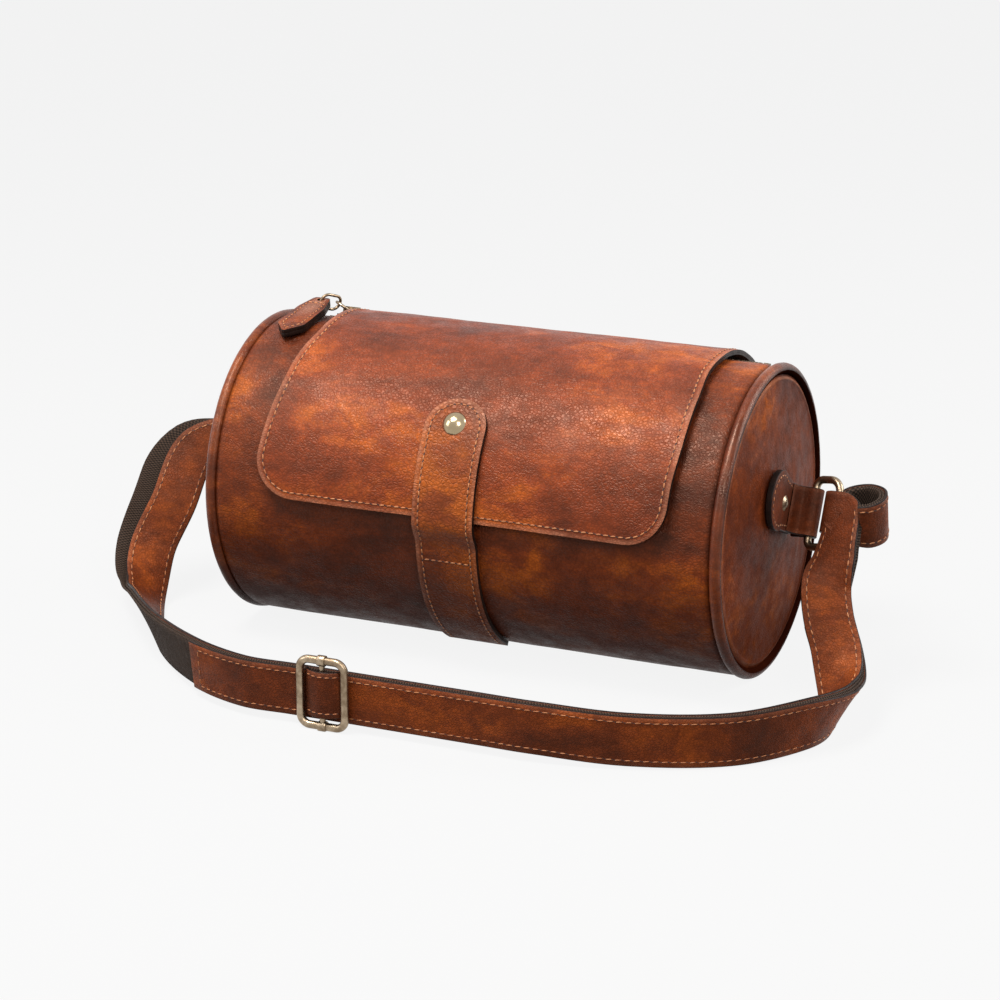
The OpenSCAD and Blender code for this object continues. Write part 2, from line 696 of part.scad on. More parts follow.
ring_spots = [
    spot(1.395, -0.41, -0.78, [-0.56, -0.35, -0.72]),
    spot(1.425, -0.26, -0.52, [-0.65, -0.30, -0.65]),
    spot(1.43, 0.02, -0.12, [-0.35, -0.36, -0.84])];

// Fold round the bow of a ring, for a ply path at radius r, from its end on the bag's side to the far side
fold_angles = [140, 95, 50, 0];
fold_out = 5;
function fold_spots(side, r) = [
    for (a = fold_angles)
        [[side * (bow_x - r * sin(a)), bow_y, axis_z + bow_z] + r * cos(a) * bow_side, -bow_dir],
    [[side * (bow_x + fold_out), bow_y, axis_z + bow_z] + r * bow_side, -bow_dir]];

inner_r = wrap_r + face_out;
outer_r = wrap_r - web_in;
left_fold = fold_spots(-1, inner_r);
right_fold = flipped(fold_spots(1, outer_r));

function unit(v) = v / norm(v);
// Blend from b to c with the runs m and n, and its slope
function smooth(b, c, m, n, t) = (2 * t * t * t - 3 * t * t + 1) * b + (t * t * t - 2 * t * t + t) * m
    + (3 * t * t - 2 * t * t * t) * c + (t * t * t - t * t) * n;
function slope(b, c, m, n, t) = (6 * t * t - 6 * t) * b + (3 * t * t - 4 * t + 1) * m
    + (6 * t - 6 * t * t) * c + (3 * t * t - 2 * t) * n;

// Points of a smooth path through the places: [middle, width direction, outward direction]
function path(spots, steps) = let (n = len(spots)) [
    for (i = [0 : n - 2]) let (
            a = spots[max(i - 1, 0)], b = spots[i], c = spots[i + 1], d = spots[min(i + 2, n - 1)],
            before = norm(b[0] - a[0]), here = norm(c[0] - b[0]), after = norm(d[0] - c[0]),
            m = here / (here + before), k = here / (here + after))
        for (j = [0 : (i == n - 2 ? steps : steps - 1)]) let (
                t = j / steps, p = smooth(b[0], c[0], m * (c[0] - a[0]), k * (d[0] - b[0]), t),
                run = unit(slope(b[0], c[0], m * (c[0] - a[0]), k * (d[0] - b[0]), t)),
                raw = smooth(b[1], c[1], m * (c[1] - a[1]), k * (d[1] - b[1]), t),
                w = unit(raw - (raw * run) * run))
            [p, w, cross(w, run)]];

// Flat strip along a path, between two offsets from its middle
module ribbon(stations, lo, hi, width) {
    n = len(stations);
    points = [for (s = stations) for (k = [[-1, lo], [1, lo], [1, hi], [-1, hi]])
        s[0] + s[1] * (k[0] * width / 2) + s[2] * k[1]];
    sides = [for (i = [0 : n - 2]) for (k = [0 : 3]) let (a = 4 * i + k, b = 4 * i + (k + 1) % 4)
        each (k == 2 ? [[a, b, a + 4], [b, b + 4, a + 4]] : [[a, b, b + 4], [a, b + 4, a + 4]])];
    polyhedron(points, concat(sides, [[3, 2, 1], [3, 1, 0]],
        [[4 * n - 4, 4 * n - 3, 4 * n - 2], [4 * n - 4, 4 * n - 2, 4 * n - 1]]), convexity = 8);
}

strap_spots = concat(left_fold, left_spots, middle_spots, right_spots, ring_spots, right_fold);
strap_path = path(strap_spots, strap_steps);
// Places where the inner plies end below the right ring and where the outer leather starts
inner_end = (len(strap_spots) - len(right_fold) - 2) * strap_steps;
face_start = (len(left_fold) + len(left_spots) - 2) * strap_steps;
inner_path = [for (i = [0 : inner_end]) strap_path[i]];
face_path = [for (i = [face_start : len(strap_path) - 1]) strap_path[i]];

module strap_inner_leather() color(tan_leather) ribbon(inner_path, -face_out, -face_in, strap_w);
module strap_inner_webbing() color(webbing_brown) ribbon(inner_path, -web_out, -web_in, strap_w);
module strap_outer_webbing() color(webbing_brown) ribbon(strap_path, web_in, web_out, strap_w);
module strap_outer_leather() color(tan_leather) ribbon(face_path, face_in, face_out, strap_w);

// ---- strap slider ----

buckle_y = front_y - face_out - soft_gap - buckle_r;
buckle_corner = 5;
bar_d = 3;
bar_gap = 0.15;
loop_t = 1.4;
loop_l = 13;
loop_h = 24;

module buckle_frame_at() translate([buckle_x, buckle_y, buckle_h / 2]) rotate([90, 0, 0]) children();

module strap_buckle_frame() color(old_brass) buckle_frame_at() {
    x = buckle_l / 2 - buckle_r;
    y = buckle_h / 2 - buckle_r;
    for (mx = [0, 1]) mirror([mx, 0, 0]) {
        for (my = [0, 1]) mirror([0, my, 0])
            translate([x - buckle_corner, y - buckle_corner, 0]) bent_wire(buckle_corner, buckle_r);
        translate([x, buckle_corner - y, 0]) rotate([-90, 0, 0])
            cylinder(r = buckle_r, h = 2 * (y - buckle_corner), $fn = 32);
    }
    for (my = [0, 1]) mirror([0, my, 0]) translate([buckle_corner - x, y, 0]) rotate([0, 90, 0])
        cylinder(r = buckle_r, h = 2 * (x - buckle_corner), $fn = 32);
}
module strap_buckle_bar() color(old_brass) buckle_frame_at()
    translate([0, -buckle_h / 2 + buckle_wire_d + layer_gap / 2, 0]) rotate([-90, 0, 0])
        cylinder(d = bar_d, h = buckle_h - 2 * buckle_wire_d - layer_gap, $fn = 32);

// Leather band that arches over the bar, with its feet on the strap
module strap_buckle_wrap() color(tan_leather) {
    crown = bar_d / 2 + bar_gap + loop_t;
    foot = buckle_r + soft_gap - layer_gap;
    rise = crown + foot;
    band_r = (loop_l * loop_l / 4 + rise * rise) / (2 * rise);
    buckle_frame_at() translate([0, -loop_h / 2, 0]) rotate([-90, 0, 0]) mirror([0, 1, 0])
        linear_extrude(loop_h) difference() {
            intersection() {
                translate([0, crown - band_r]) circle(band_r, $fn = 72);
                translate([-loop_l / 2, -foot]) square([loop_l, rise]);
            }
            translate([0, crown - band_r]) circle(band_r - loop_t, $fn = 72);
        }
}

body_shell();
body_lining();
end_panel_left();
end_panel_right();
end_board_left();
end_board_right();
piping_left();
piping_right();
piping_cores();
zip_tape_front();
zip_tape_rear();
zip_teeth_front();
zip_teeth_rear();
zip_stops();
zip_slider();
zip_bail();
zip_link();
zip_puller_front();
zip_puller_back();
flap_seam_strip();
flap_outer();
flap_lining();
flap_magnet();
closure_tab_base();
closure_tab();
closure_tab_lining();
tab_magnet();
snap_cap();
chape_left();
chape_right();
chape_rivets();
d_ring_left();
d_ring_right();
strap_inner_leather();
strap_inner_webbing();
strap_outer_webbing();
strap_outer_leather();
strap_buckle_frame();
strap_buckle_bar();
strap_buckle_wrap();
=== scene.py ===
# %% [markdown]
# # A leather barrel bag
# The bag is a round drum of patina leather that lies on its side. A zip runs along the top, a broad flap
# covers it, a sewn tab snaps over the flap, and a strap backed with webbing runs in a loop in front.
# The measured model gives every rigid piece its true place. This lesson dresses it: each soft piece is
# built again as leather, webbing or thread, and each metal piece gets its finish.

# %% Load the measured model
import math

import bmesh
import bpy
from mathutils import Matrix, Vector, noise
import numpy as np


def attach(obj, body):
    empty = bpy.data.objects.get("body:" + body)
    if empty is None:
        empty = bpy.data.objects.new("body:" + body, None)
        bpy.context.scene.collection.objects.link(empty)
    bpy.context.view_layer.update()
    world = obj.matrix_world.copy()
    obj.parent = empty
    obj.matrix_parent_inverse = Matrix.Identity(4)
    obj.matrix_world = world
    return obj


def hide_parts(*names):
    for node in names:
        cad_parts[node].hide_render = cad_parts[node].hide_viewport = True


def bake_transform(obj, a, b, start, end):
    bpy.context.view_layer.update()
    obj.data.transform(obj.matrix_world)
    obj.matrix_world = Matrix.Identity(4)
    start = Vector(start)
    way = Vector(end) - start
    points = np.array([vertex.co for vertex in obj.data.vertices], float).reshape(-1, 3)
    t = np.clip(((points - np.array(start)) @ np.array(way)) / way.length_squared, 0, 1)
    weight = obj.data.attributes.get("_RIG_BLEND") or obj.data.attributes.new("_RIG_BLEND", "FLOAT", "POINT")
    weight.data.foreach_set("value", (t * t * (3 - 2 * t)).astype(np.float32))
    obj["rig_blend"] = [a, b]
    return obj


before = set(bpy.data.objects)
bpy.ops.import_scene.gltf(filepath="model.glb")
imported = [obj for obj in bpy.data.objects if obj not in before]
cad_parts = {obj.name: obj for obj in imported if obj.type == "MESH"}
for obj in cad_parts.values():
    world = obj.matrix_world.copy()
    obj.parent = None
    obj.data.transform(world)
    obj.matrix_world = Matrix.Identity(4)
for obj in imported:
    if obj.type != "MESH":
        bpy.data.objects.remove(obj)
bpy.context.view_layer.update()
scene = bpy.context.scene
scene.view_settings.view_transform = "Standard"

# %% [markdown]
# The main sizes are the ones the bag was drawn with. An angle round the drum is counted from the top,
# and grows toward the front. One helper turns a length along the drum, an angle and a radius into a
# point, so that every leather piece can be thought of as cut flat and then wrapped.

# %% Sizes and the wrap
MM = 0.001
AXIS_Z = 79.6 * MM
BODY_R = 80 * MM
HALF_L = 138 * MM
SLOT_MID = -17.0
SLOT_HALF_W = 6 * MM
SLOT_END = 131 * MM


def wrap(x, angle, r):
    turn = math.radians(angle)
    return Vector((x, -r * math.sin(turn), AXIS_Z + r * math.cos(turn)))


def outward(angle):
    turn = math.radians(angle)
    return Vector((0, -math.sin(turn), math.cos(turn)))


def arc_angle(length, r):
    return math.degrees(length / r)


def ease(t):
    t = min(max(t, 0.0), 1.0)
    return t * t * (3 - 2 * t)


def mix(a, b, t):
    return a + (b - a) * t


def wobble(p, size, seed):
    return noise.noise(Vector((p[0] / size + seed, p[1] / size - seed, p[2] / size + 2 * seed)))


print("drum", 2 * BODY_R, "m across,", 2 * HALF_L, "m between its piping rings")

# %% [markdown]
# A finish can be one flat colour or something built from noise. Real patina leather is dyed, burnished
# and handled. Three effects are node groups, made once: a pebbled crackle and a cloudy dye, which all the
# leathers share, and a fine weave for webbing and tape.

# %% A small kit for building node groups
def socket_group(name, inputs, outputs):
    tree = bpy.data.node_groups.new(name, "ShaderNodeTree")
    for label, kind, value in inputs:
        made = tree.interface.new_socket(label, in_out="INPUT", socket_type="NodeSocket" + kind)
        made.default_value = value
    for label, kind in outputs:
        tree.interface.new_socket(label, in_out="OUTPUT", socket_type="NodeSocket" + kind)
    return tree, tree.nodes.new("NodeGroupInput").outputs, tree.nodes.new("NodeGroupOutput").inputs


def fill(tree, socket, value):
    if isinstance(value, bpy.types.NodeSocket):
        tree.links.new(value, socket)
    elif socket.type == "RGBA" and len(value) == 3:
        socket.default_value = (*value, 1.0)
    elif value is not None:
        socket.default_value = value


def put(tree, kind, **values):
    node = tree.nodes.new("ShaderNode" + kind)
    for key, value in values.items():
        label = key[3:].replace("_", " ")
        if key.startswith("in_"):
            fill(tree, node.inputs[int(label) if label.isdigit() else label], value)
        else:
            setattr(node, key, value)
    return node


def sums(tree, operation, a, b=None, clamp=False):
    return put(tree, "Math", operation=operation, use_clamp=clamp, in_0=a, in_1=b).outputs[0]


def plus(tree, a, b):
    return sums(tree, "ADD", a, b)


def times(tree, a, b):
    return sums(tree, "MULTIPLY", a, b)


def spread(tree, value, low, high, to_low=0.0, to_high=1.0):
    return put(tree, "MapRange", interpolation_type="SMOOTHSTEP", in_Value=value, in_From_Min=low,
               in_From_Max=high, in_To_Min=to_low, in_To_Max=to_high).outputs["Result"]


def tint(tree, factor, first, second, blend="MIX"):
    return put(tree, "Mix", data_type="RGBA", blend_type=blend, in_Factor=factor, in_A=first,
               in_B=second).outputs["Result"]


def clouds(tree, place, size, detail=4.0, rough=0.55, distort=0.0):
    return put(tree, "TexNoise", in_Vector=place, in_Scale=1 / size, in_Detail=detail,
               in_Roughness=rough, in_Distortion=distort).outputs["Fac"]


print("node kit ready")

# %% [markdown]
# The grain of this leather is a net of short creases 1 to 2 mm apart, with finer pores between. Cells
# of a Voronoi pattern, pushed about by noise so that they don't look like tiles, give the creases: the
# distance to the nearest cell edge is small in a crease and large on a pebble.

# %% The crackled grain
def grain_group():
    tree, took, gave = socket_group(
        "crackled_grain", [("Vector", "Vector", (0, 0, 0)), ("Crease Size", "Float", 0.0019)],
        [("Height", "Float"), ("Crease", "Float")])
    place = put(tree, "Mapping", in_Vector=took["Vector"], in_Rotation=(0.5, 0.3, 0.7),
                in_Scale=(0.80, 1.0, 0.95)).outputs["Vector"]
    drift = put(tree, "TexNoise", in_Vector=place, in_Scale=260.0, in_Detail=3.0)
    push = put(tree, "VectorMath", operation="MULTIPLY_ADD", in_0=drift.outputs["Color"],
               in_1=(0.0024, 0.0024, 0.0024), in_2=place)
    cells = put(tree, "TexVoronoi", feature="DISTANCE_TO_EDGE", in_Vector=push.outputs["Vector"],
                in_Scale=sums(tree, "DIVIDE", 1.0, took["Crease Size"]))
    pebble = spread(tree, cells.outputs["Distance"], 0.0, 0.24)
    pores = clouds(tree, place, 0.0007, detail=3.0)
    patchy = spread(tree, clouds(tree, place, 0.022, detail=2.0), 0.30, 0.62, 0.35, 1.0)
    fill(tree, gave["Height"], plus(tree, times(tree, pebble, patchy), times(tree, pores, 0.50)))
    fill(tree, gave["Crease"], sums(tree, "SUBTRACT", 1.0, pebble, clamp=True))
    return tree


crackled_grain = grain_group()
print("group", crackled_grain.name)

# %% [markdown]
# Patina leather is dyed by hand in layers. Broad clouds carry it from a dark brown to a warm tan, and
# smaller orange bursts show where the top coat has been rubbed away. The clouds are stretched along the
# drum, as the dye was wiped on in that direction.

# %% The hand rubbed dye
def dye_group():
    colours = [(label, "Color", (0, 0, 0, 1)) for label in ("Deep", "Warm", "Bright")]
    tree, took, gave = socket_group(
        "rubbed_dye", [("Vector", "Vector", (0, 0, 0)), *colours, ("Shift", "Float", 0.0)],
        [("Color", "Color")])
    place = put(tree, "Mapping", in_Vector=took["Vector"], in_Scale=(0.62, 1.0, 1.0)).outputs["Vector"]
    broad = plus(tree, clouds(tree, place, 0.060, detail=5.0, rough=0.6, distort=0.6), took["Shift"])
    fine = clouds(tree, place, 0.016, detail=5.0, rough=0.65, distort=0.4)
    speck = clouds(tree, place, 0.0035, detail=3.0, rough=0.7)
    blend = plus(tree, times(tree, broad, 0.68), times(tree, fine, 0.32))
    warm = tint(tree, spread(tree, blend, 0.36, 0.56), took["Deep"], took["Warm"])
    burst = times(tree, spread(tree, broad, 0.48, 0.62), spread(tree, fine, 0.40, 0.62))
    bright = tint(tree, burst, warm, took["Bright"])
    freckle = spread(tree, speck, 0.40, 0.66, 0.80, 1.10)
    shade = put(tree, "CombineColor", in_Red=freckle, in_Green=freckle, in_Blue=freckle)
    fill(tree, gave["Color"], tint(tree, 1.0, bright, shade.outputs["Color"], "MULTIPLY"))
    return tree


rubbed_dye = dye_group()
print("group", rubbed_dye.name)

# %% [markdown]
# Webbing and zip tape are woven ribs. Two sets of waves, one along the strip and one across it, cross
# where a thread goes over or under. The strip's own flat coordinates carry the pattern, so that the ribs
# follow each bend.

# %% The ribbed weave
def weave_group():
    tree, took, gave = socket_group(
        "ribbed_weave", [("Vector", "Vector", (0, 0, 0)), ("Rib", "Float", 0.0011)], [("Height", "Float")])
    parts = put(tree, "SeparateXYZ", in_0=took["Vector"]).outputs
    turn = sums(tree, "DIVIDE", 2 * math.pi, took["Rib"])
    along = sums(tree, "SINE", times(tree, parts["X"], turn))
    across = sums(tree, "SINE", times(tree, parts["Y"], times(tree, turn, 0.5)))
    fuzz = clouds(tree, took["Vector"], 0.0005, detail=2.0)
    height = plus(tree, times(tree, times(tree, along, across), 0.5), times(tree, fuzz, 0.5))
    fill(tree, gave["Height"], plus(tree, height, 0.25))
    return tree


ribbed_weave = weave_group()
print("group", ribbed_weave.name)

# %% [markdown]
# Each leather is the same recipe with other values. The colour starts from the dye, creases are darker
# because dye pools in them, and the first 3 mm in from a cut edge are rubbed lighter. Every
# leather piece carries its distance from its own edge as an attribute called edge_in. A second attribute
# marks the grooves beside the piping, where the colour is darkened and the shine taken away: painted shade.
# Some leathers are also darker toward the floor and less shiny there: painted shade.

# %% Leather finishes
RUBBED = (0.52, 0.21, 0.12)


def new_finish(name):
    material = bpy.data.materials.new(name)
    material.use_nodes = True
    tree = material.node_tree
    return material, tree, tree.nodes["Principled BSDF"].inputs, put(tree, "TexCoord").outputs["Object"]


def raise_by(tree, height, distance, strength=1.0):
    bump = put(tree, "Bump", in_Strength=strength, in_Distance=distance, in_Height=height)
    fill(tree, tree.nodes["Principled BSDF"].inputs["Normal"], bump.outputs["Normal"])


def kept(tree, name):
    return put(tree, "Attribute", attribute_name=name, attribute_type="GEOMETRY").outputs["Fac"]


def darker(colour, share):
    return tuple(share * v for v in colour)


def leather(name, deep, warm, bright, gloss=0.42, crease=0.0019, relief=0.00022, rubbed_share=0.5,
            shift=0.0, underside_shade=0.0, shine=0.5):
    material, tree, surface, place = new_finish(name)
    dye = put(tree, "Group", node_tree=rubbed_dye, in_Vector=place, in_Deep=deep, in_Warm=warm,
              in_Bright=bright, in_Shift=shift)
    grain = put(tree, "Group", node_tree=crackled_grain, in_Vector=place, in_Crease_Size=crease).outputs
    near = spread(tree, kept(tree, "edge_in"), 0.0008, 0.0030, 1.0, 0.0)
    patchy = spread(tree, clouds(tree, place, 0.012, detail=3.0), 0.35, 0.65, 0.45, 1.0)
    rubbed = times(tree, times(tree, near, patchy), rubbed_share)
    colour = tint(tree, rubbed, dye.outputs["Color"], RUBBED)
    colour = tint(tree, times(tree, grain["Crease"], 0.34), colour, darker(deep, 0.35))
    # Painted shade: the colour is darkened and the shine taken away in the grooves beside the piping.
    groove_shade = kept(tree, "groove_shade")
    colour = tint(tree, times(tree, groove_shade, 0.85), colour, darker(deep, 0.12))
    polished = times(tree, sums(tree, "SUBTRACT", 1.0, groove_shade, clamp=True), shine)
    # Painted shade: the leather is darker toward the floor, and its shine is weaker there.
    if underside_shade:
        height = put(tree, "SeparateXYZ", in_0=place).outputs["Z"]
        colour = tint(tree, spread(tree, height, 0.0, 0.075, underside_shade, 0.0), colour, darker(deep, 0.6))
        polished = times(tree, polished, spread(tree, height, 0.02, 0.095, 0.12, 1.0))
    rough = spread(tree, clouds(tree, place, 0.010, detail=4.0), 0.30, 0.70, gloss - 0.07, gloss + 0.10)
    soft = times(tree, clouds(tree, place, 0.014, detail=3.0), 3.0)
    fill(tree, surface["Base Color"], colour)
    fill(tree, surface["Roughness"], plus(tree, rough, times(tree, grain["Crease"], 0.10)))
    fill(tree, surface["Specular IOR Level"], polished)
    fill(tree, surface["Specular Tint"], (1.0, 0.64, 0.48))
    raise_by(tree, plus(tree, grain["Height"], soft), relief, 0.9)
    return material


tan_leather = leather("tan_leather", (0.052, 0.010, 0.004), (0.190, 0.034, 0.008), (0.42, 0.090, 0.010),
                      gloss=0.37, crease=0.0015, relief=0.00016, underside_shade=0.9, shift=-0.03, shine=0.32)
flap_leather = leather("flap_leather", (0.095, 0.018, 0.007), (0.250, 0.044, 0.012), (0.46, 0.098, 0.014),
                       gloss=0.36, crease=0.0015, relief=0.00016, shift=0.0, shine=0.34)
strap_leather = leather("strap_leather", (0.060, 0.013, 0.005), (0.170, 0.034, 0.009), (0.32, 0.066, 0.011),
                        gloss=0.46, crease=0.0013, relief=0.00012, rubbed_share=0.15, shine=0.22)
panel_leather = leather("panel_leather", (0.085, 0.017, 0.006), (0.200, 0.038, 0.008), (0.40, 0.086, 0.010),
                        gloss=0.40, crease=0.0013, relief=0.00010, rubbed_share=0.55, underside_shade=0.7, shine=0.06)
piping_leather = leather("piping_leather", (0.050, 0.009, 0.004), (0.145, 0.026, 0.007), (0.28, 0.060, 0.012),
                         gloss=0.24, crease=0.0011, relief=0.00008, rubbed_share=0.0, shine=0.5, underside_shade=0.7)
print("leathers", [m.name for m in bpy.data.materials if "leather" in m.name])

# %% [markdown]
# The cut edges are painted nearly black and polished. Thread is waxed and a little shiny. The flap and
# the tab are lined with a soft brown split that has no grain. Webbing is a rib weave in dark brown. All
# the metal is one old brass: a warm dark plating, lighter in broad clouds, with a fine noise bump.

# %% Edge paint, thread, cloth and metal
def plain(name, colour, other, rough, size=0.004, relief=0.0, metallic=0.0, cloudy=(0.35, 0.65)):
    material, tree, surface, place = new_finish(name)
    cloud = clouds(tree, place, size, detail=5.0, rough=0.6)
    fill(tree, surface["Base Color"], tint(tree, spread(tree, cloud, *cloudy), colour, other))
    fill(tree, surface["Roughness"], spread(tree, cloud, 0.25, 0.75, rough[1], rough[0]))
    fill(tree, surface["Metallic"], metallic)
    if relief:
        raise_by(tree, clouds(tree, place, size / 6, detail=4.0), relief)
    return material


def woven(name, colour, other, rib):
    material = plain(name, colour, other, (0.75, 0.9))
    tree = material.node_tree
    surface = tree.nodes["Principled BSDF"].inputs
    flat = put(tree, "UVMap", uv_map="flat").outputs["UV"]
    height = put(tree, "Group", node_tree=ribbed_weave, in_Vector=flat, in_Rib=rib).outputs["Height"]
    raise_by(tree, height, 0.00035)
    fill(tree, surface["Specular IOR Level"], 0.2)
    # Painted shade: the low parts of the weave are darker.
    shade = spread(tree, height, 0.2, 0.9)
    fill(tree, surface["Base Color"], tint(tree, shade, darker(colour, 0.45), other))
    return material


edge_paint = plain("edge_paint", (0.010, 0.006, 0.005), (0.024, 0.012, 0.009), (0.26, 0.44), relief=0.00005)
edge_paint.node_tree.nodes["Principled BSDF"].inputs["Specular IOR Level"].default_value = 0.10
thread = plain("waxed_thread", (0.32, 0.095, 0.028), (0.48, 0.19, 0.070), (0.45, 0.65),
               size=0.006, relief=0.00004)
# A dark flat mark at each end of a stitch, standing for the shadow in the needle hole: painted shade.
needle_hole_shadow = plain("needle_hole_shadow", (0.020, 0.006, 0.004), (0.035, 0.010, 0.006), (0.6, 0.8))
suede = plain("flap_suede", (0.085, 0.045, 0.028), (0.120, 0.066, 0.042), (0.80, 0.95),
              size=0.003, relief=0.00010)
cloth = plain("lining_cloth", (0.060, 0.040, 0.028), (0.080, 0.055, 0.038), (0.80, 0.95),
              size=0.002, relief=0.00008)
board = plain("board_and_cord", (0.150, 0.130, 0.105), (0.200, 0.175, 0.145), (0.85, 0.95),
              size=0.003, relief=0.0001)
webbing = woven("strap_webbing", (0.024, 0.013, 0.008), (0.066, 0.040, 0.027), 0.0014)
tape_weave = woven("zip_tape_weave", (0.030, 0.018, 0.013), (0.070, 0.045, 0.034), 0.0008)
old_brass = plain("old_brass", (0.205, 0.145, 0.092), (0.46, 0.36, 0.25), (0.24, 0.42), size=0.005,
                  relief=0.00003, metallic=1.0, cloudy=(0.30, 0.75))
bright_brass = plain("bright_brass", (0.40, 0.31, 0.19), (0.50, 0.40, 0.26), (0.14, 0.22), size=0.009,
                     metallic=1.0)
print("finishes", len(bpy.data.materials))

# %% [markdown]
# A leather piece starts as a flat grid, as the hide does on the cutting table. Each point of the grid is
# then moved to its place on the bag. A Solidify modifier gives the thickness and puts edge paint on the
# cut edges, a Bevel rounds them, and the result is kept as the mesh, so nothing is left live.

# %% From a flat grid to a finished piece
HIDE_T = 2 * MM
EDGE_ROUND = 0.35 * MM
FAR_IN = 20 * MM
WELD = 0.01 * MM


def flat_grid(bm, columns, rows, place):
    for v in bmesh.ops.create_grid(bm, x_segments=columns, y_segments=rows, size=0.5)["verts"]:
        v.co = place(round((v.co.x + 0.5) * columns), round((v.co.y + 0.5) * rows))


def layer(bm, name):
    layers = bm.verts.layers.float
    return layers.get(name) or layers.new(name)


def face_out(bm, direction):
    bm.normal_update()
    total = sum(f.normal.dot(direction(f.calc_center_median())) for f in bm.faces)
    if total < 0:
        bmesh.ops.reverse_faces(bm, faces=bm.faces[:])


def from_axis(p):
    return Vector((0, p.y, p.z - AXIS_Z)).normalized()


def angle_of(p):
    return math.degrees(math.atan2(-p.y, p.z - AXIS_Z))


def mesh_of(bm, name):
    mesh = bpy.data.meshes.new(name)
    bm.to_mesh(mesh)
    bm.free()
    return mesh


def smooth(mesh, sharp):
    for polygon in mesh.polygons:
        polygon.use_smooth = True
    mesh.set_sharp_from_angle(angle=math.radians(sharp))


def new_piece(bm, name, body, materials, replaced=(), sharp=45):
    mesh = mesh_of(bm, name)
    for material in materials:
        mesh.materials.append(material)
    smooth(mesh, sharp)
    piece = bpy.data.objects.new(name, mesh)
    scene.collection.objects.link(piece)
    if body:
        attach(piece, body)
    if replaced:
        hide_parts(*replaced)
    return piece


def thicken(piece, thickness, edge_round):
    solid = piece.modifiers.new("thickness", "SOLIDIFY")
    solid.thickness = thickness
    solid.offset = -1
    solid.material_offset_rim = 1
    if edge_round:
        soft = piece.modifiers.new("rounding", "BEVEL")
        soft.width = edge_round
        soft.segments = 2
        soft.limit_method = "ANGLE"
        soft.angle_limit = math.radians(50)
    bpy.context.view_layer.update()
    seen = piece.evaluated_get(bpy.context.evaluated_depsgraph_get())
    done = bpy.data.meshes.new_from_object(seen)
    piece.modifiers.clear()
    piece.data = done
    done.name = piece.name
    smooth(done, 50)
    print(piece.name, len(done.polygons), "faces")

# %% [markdown]
# Thread is the detail that says hand made. Each stitch is one small egg of thread that lies along the
# seam, and at each end a smaller, flatter dark egg stands for the shadow in the needle hole: painted shade.
# A seam is a line of points on the leather with the direction that faces out, and the sewing helper walks
# along it at an even pitch.

# %% The sewing helper
STITCH_PITCH = 4.0 * MM
STITCH_LENGTH = 3.1 * MM
THREAD_R = 0.42 * MM


def one_stitch():
    bm = bmesh.new()
    egg, hole_shadow = (0.5, 1, 0.8), (0.16, 0.95, 0.3)
    for kind, along, sizes in ((0, 0, egg), (1, 0.5, hole_shadow), (1, -0.5, hole_shadow)):
        shape = Matrix.Translation((along, 0, 0)) @ Matrix.Diagonal((*sizes, 1))
        ball = bmesh.ops.create_uvsphere(bm, u_segments=8, v_segments=5 - kind, radius=1, matrix=shape)
        for v in ball["verts"]:
            for f in v.link_faces:
                f.material_index = kind
    return mesh_of(bm, "one_stitch")


stitch = one_stitch()


def sew(bm, seam, pitch=STITCH_PITCH, length=STITCH_LENGTH, thick=THREAD_R, slant=5.0):
    steps = [(b[0] - a[0]).length for a, b in zip(seam, seam[1:])]
    total = sum(steps)
    count = max(1, round(total / pitch))
    at, travelled = 0, 0.0
    for i in range(count):
        goal = total * (i + 0.5) / count
        while at < len(steps) - 1 and travelled + steps[at] < goal:
            travelled += steps[at]
            at += 1
        t = (goal - travelled) / steps[at]
        (p, n), (q, m) = seam[at], seam[at + 1]
        out = n.lerp(m, t).normalized()
        along = Matrix.Rotation(math.radians(slant), 3, out) @ (q - p).normalized()
        side = out.cross(along).normalized()
        turn = Matrix((along * length, side * thick, out * thick)).transposed().to_4x4()
        laid = stitch.copy()
        laid.transform(Matrix.Translation(p.lerp(q, t)) @ turn)
        bm.from_mesh(laid)
        bpy.data.meshes.remove(laid)
    return count


def seam_piece(name, body, seams, **how):
    bm = bmesh.new()
    count = sum(sew(bm, seam, **how) for seam in seams)
    piece = new_piece(bm, name, body, [thread, needle_hole_shadow], sharp=80)
    print(name, count, "stitches")
    return piece


# %% [markdown]
# The drum is one hide wrapped round and joined to the piping at both ends. It could be a plain tube, but
# real leather has soft hollows and dips into the groove beside the piping, and it is pressed flat where
# it rests. The grid has a line at each edge of the zip slot, and the faces inside the slot are removed.

# %% The drum
RIM_X = [135.9, 135.3, 134.4, 133.0, 131.0]
GROOVE_DEPTH = 1.2 * MM
LIP_DEPTH = 2.0 * MM
GROOVE_X = 132.6 * MM
DRUM_COLUMNS = 104
DRUM_ROWS = 212
SLOT_ROWS = 6

slot_half = arc_angle(SLOT_HALF_W, BODY_R)
drum_x = [-x * MM for x in RIM_X]
drum_x += [mix(-SLOT_END, SLOT_END, i / DRUM_COLUMNS) for i in range(1, DRUM_COLUMNS)]
drum_x += [x * MM for x in reversed(RIM_X)]
drum_angles = [mix(SLOT_MID + slot_half, SLOT_MID + 360 - slot_half, i / DRUM_ROWS)
               for i in range(DRUM_ROWS + 1)]
drum_angles += [SLOT_MID + 360 + mix(-slot_half, slot_half, i / SLOT_ROWS) for i in range(1, SLOT_ROWS + 1)]


def hollow(p, seed, size, depth):
    return depth * (0.5 + 0.5 * wobble(p, size, seed)) ** 2


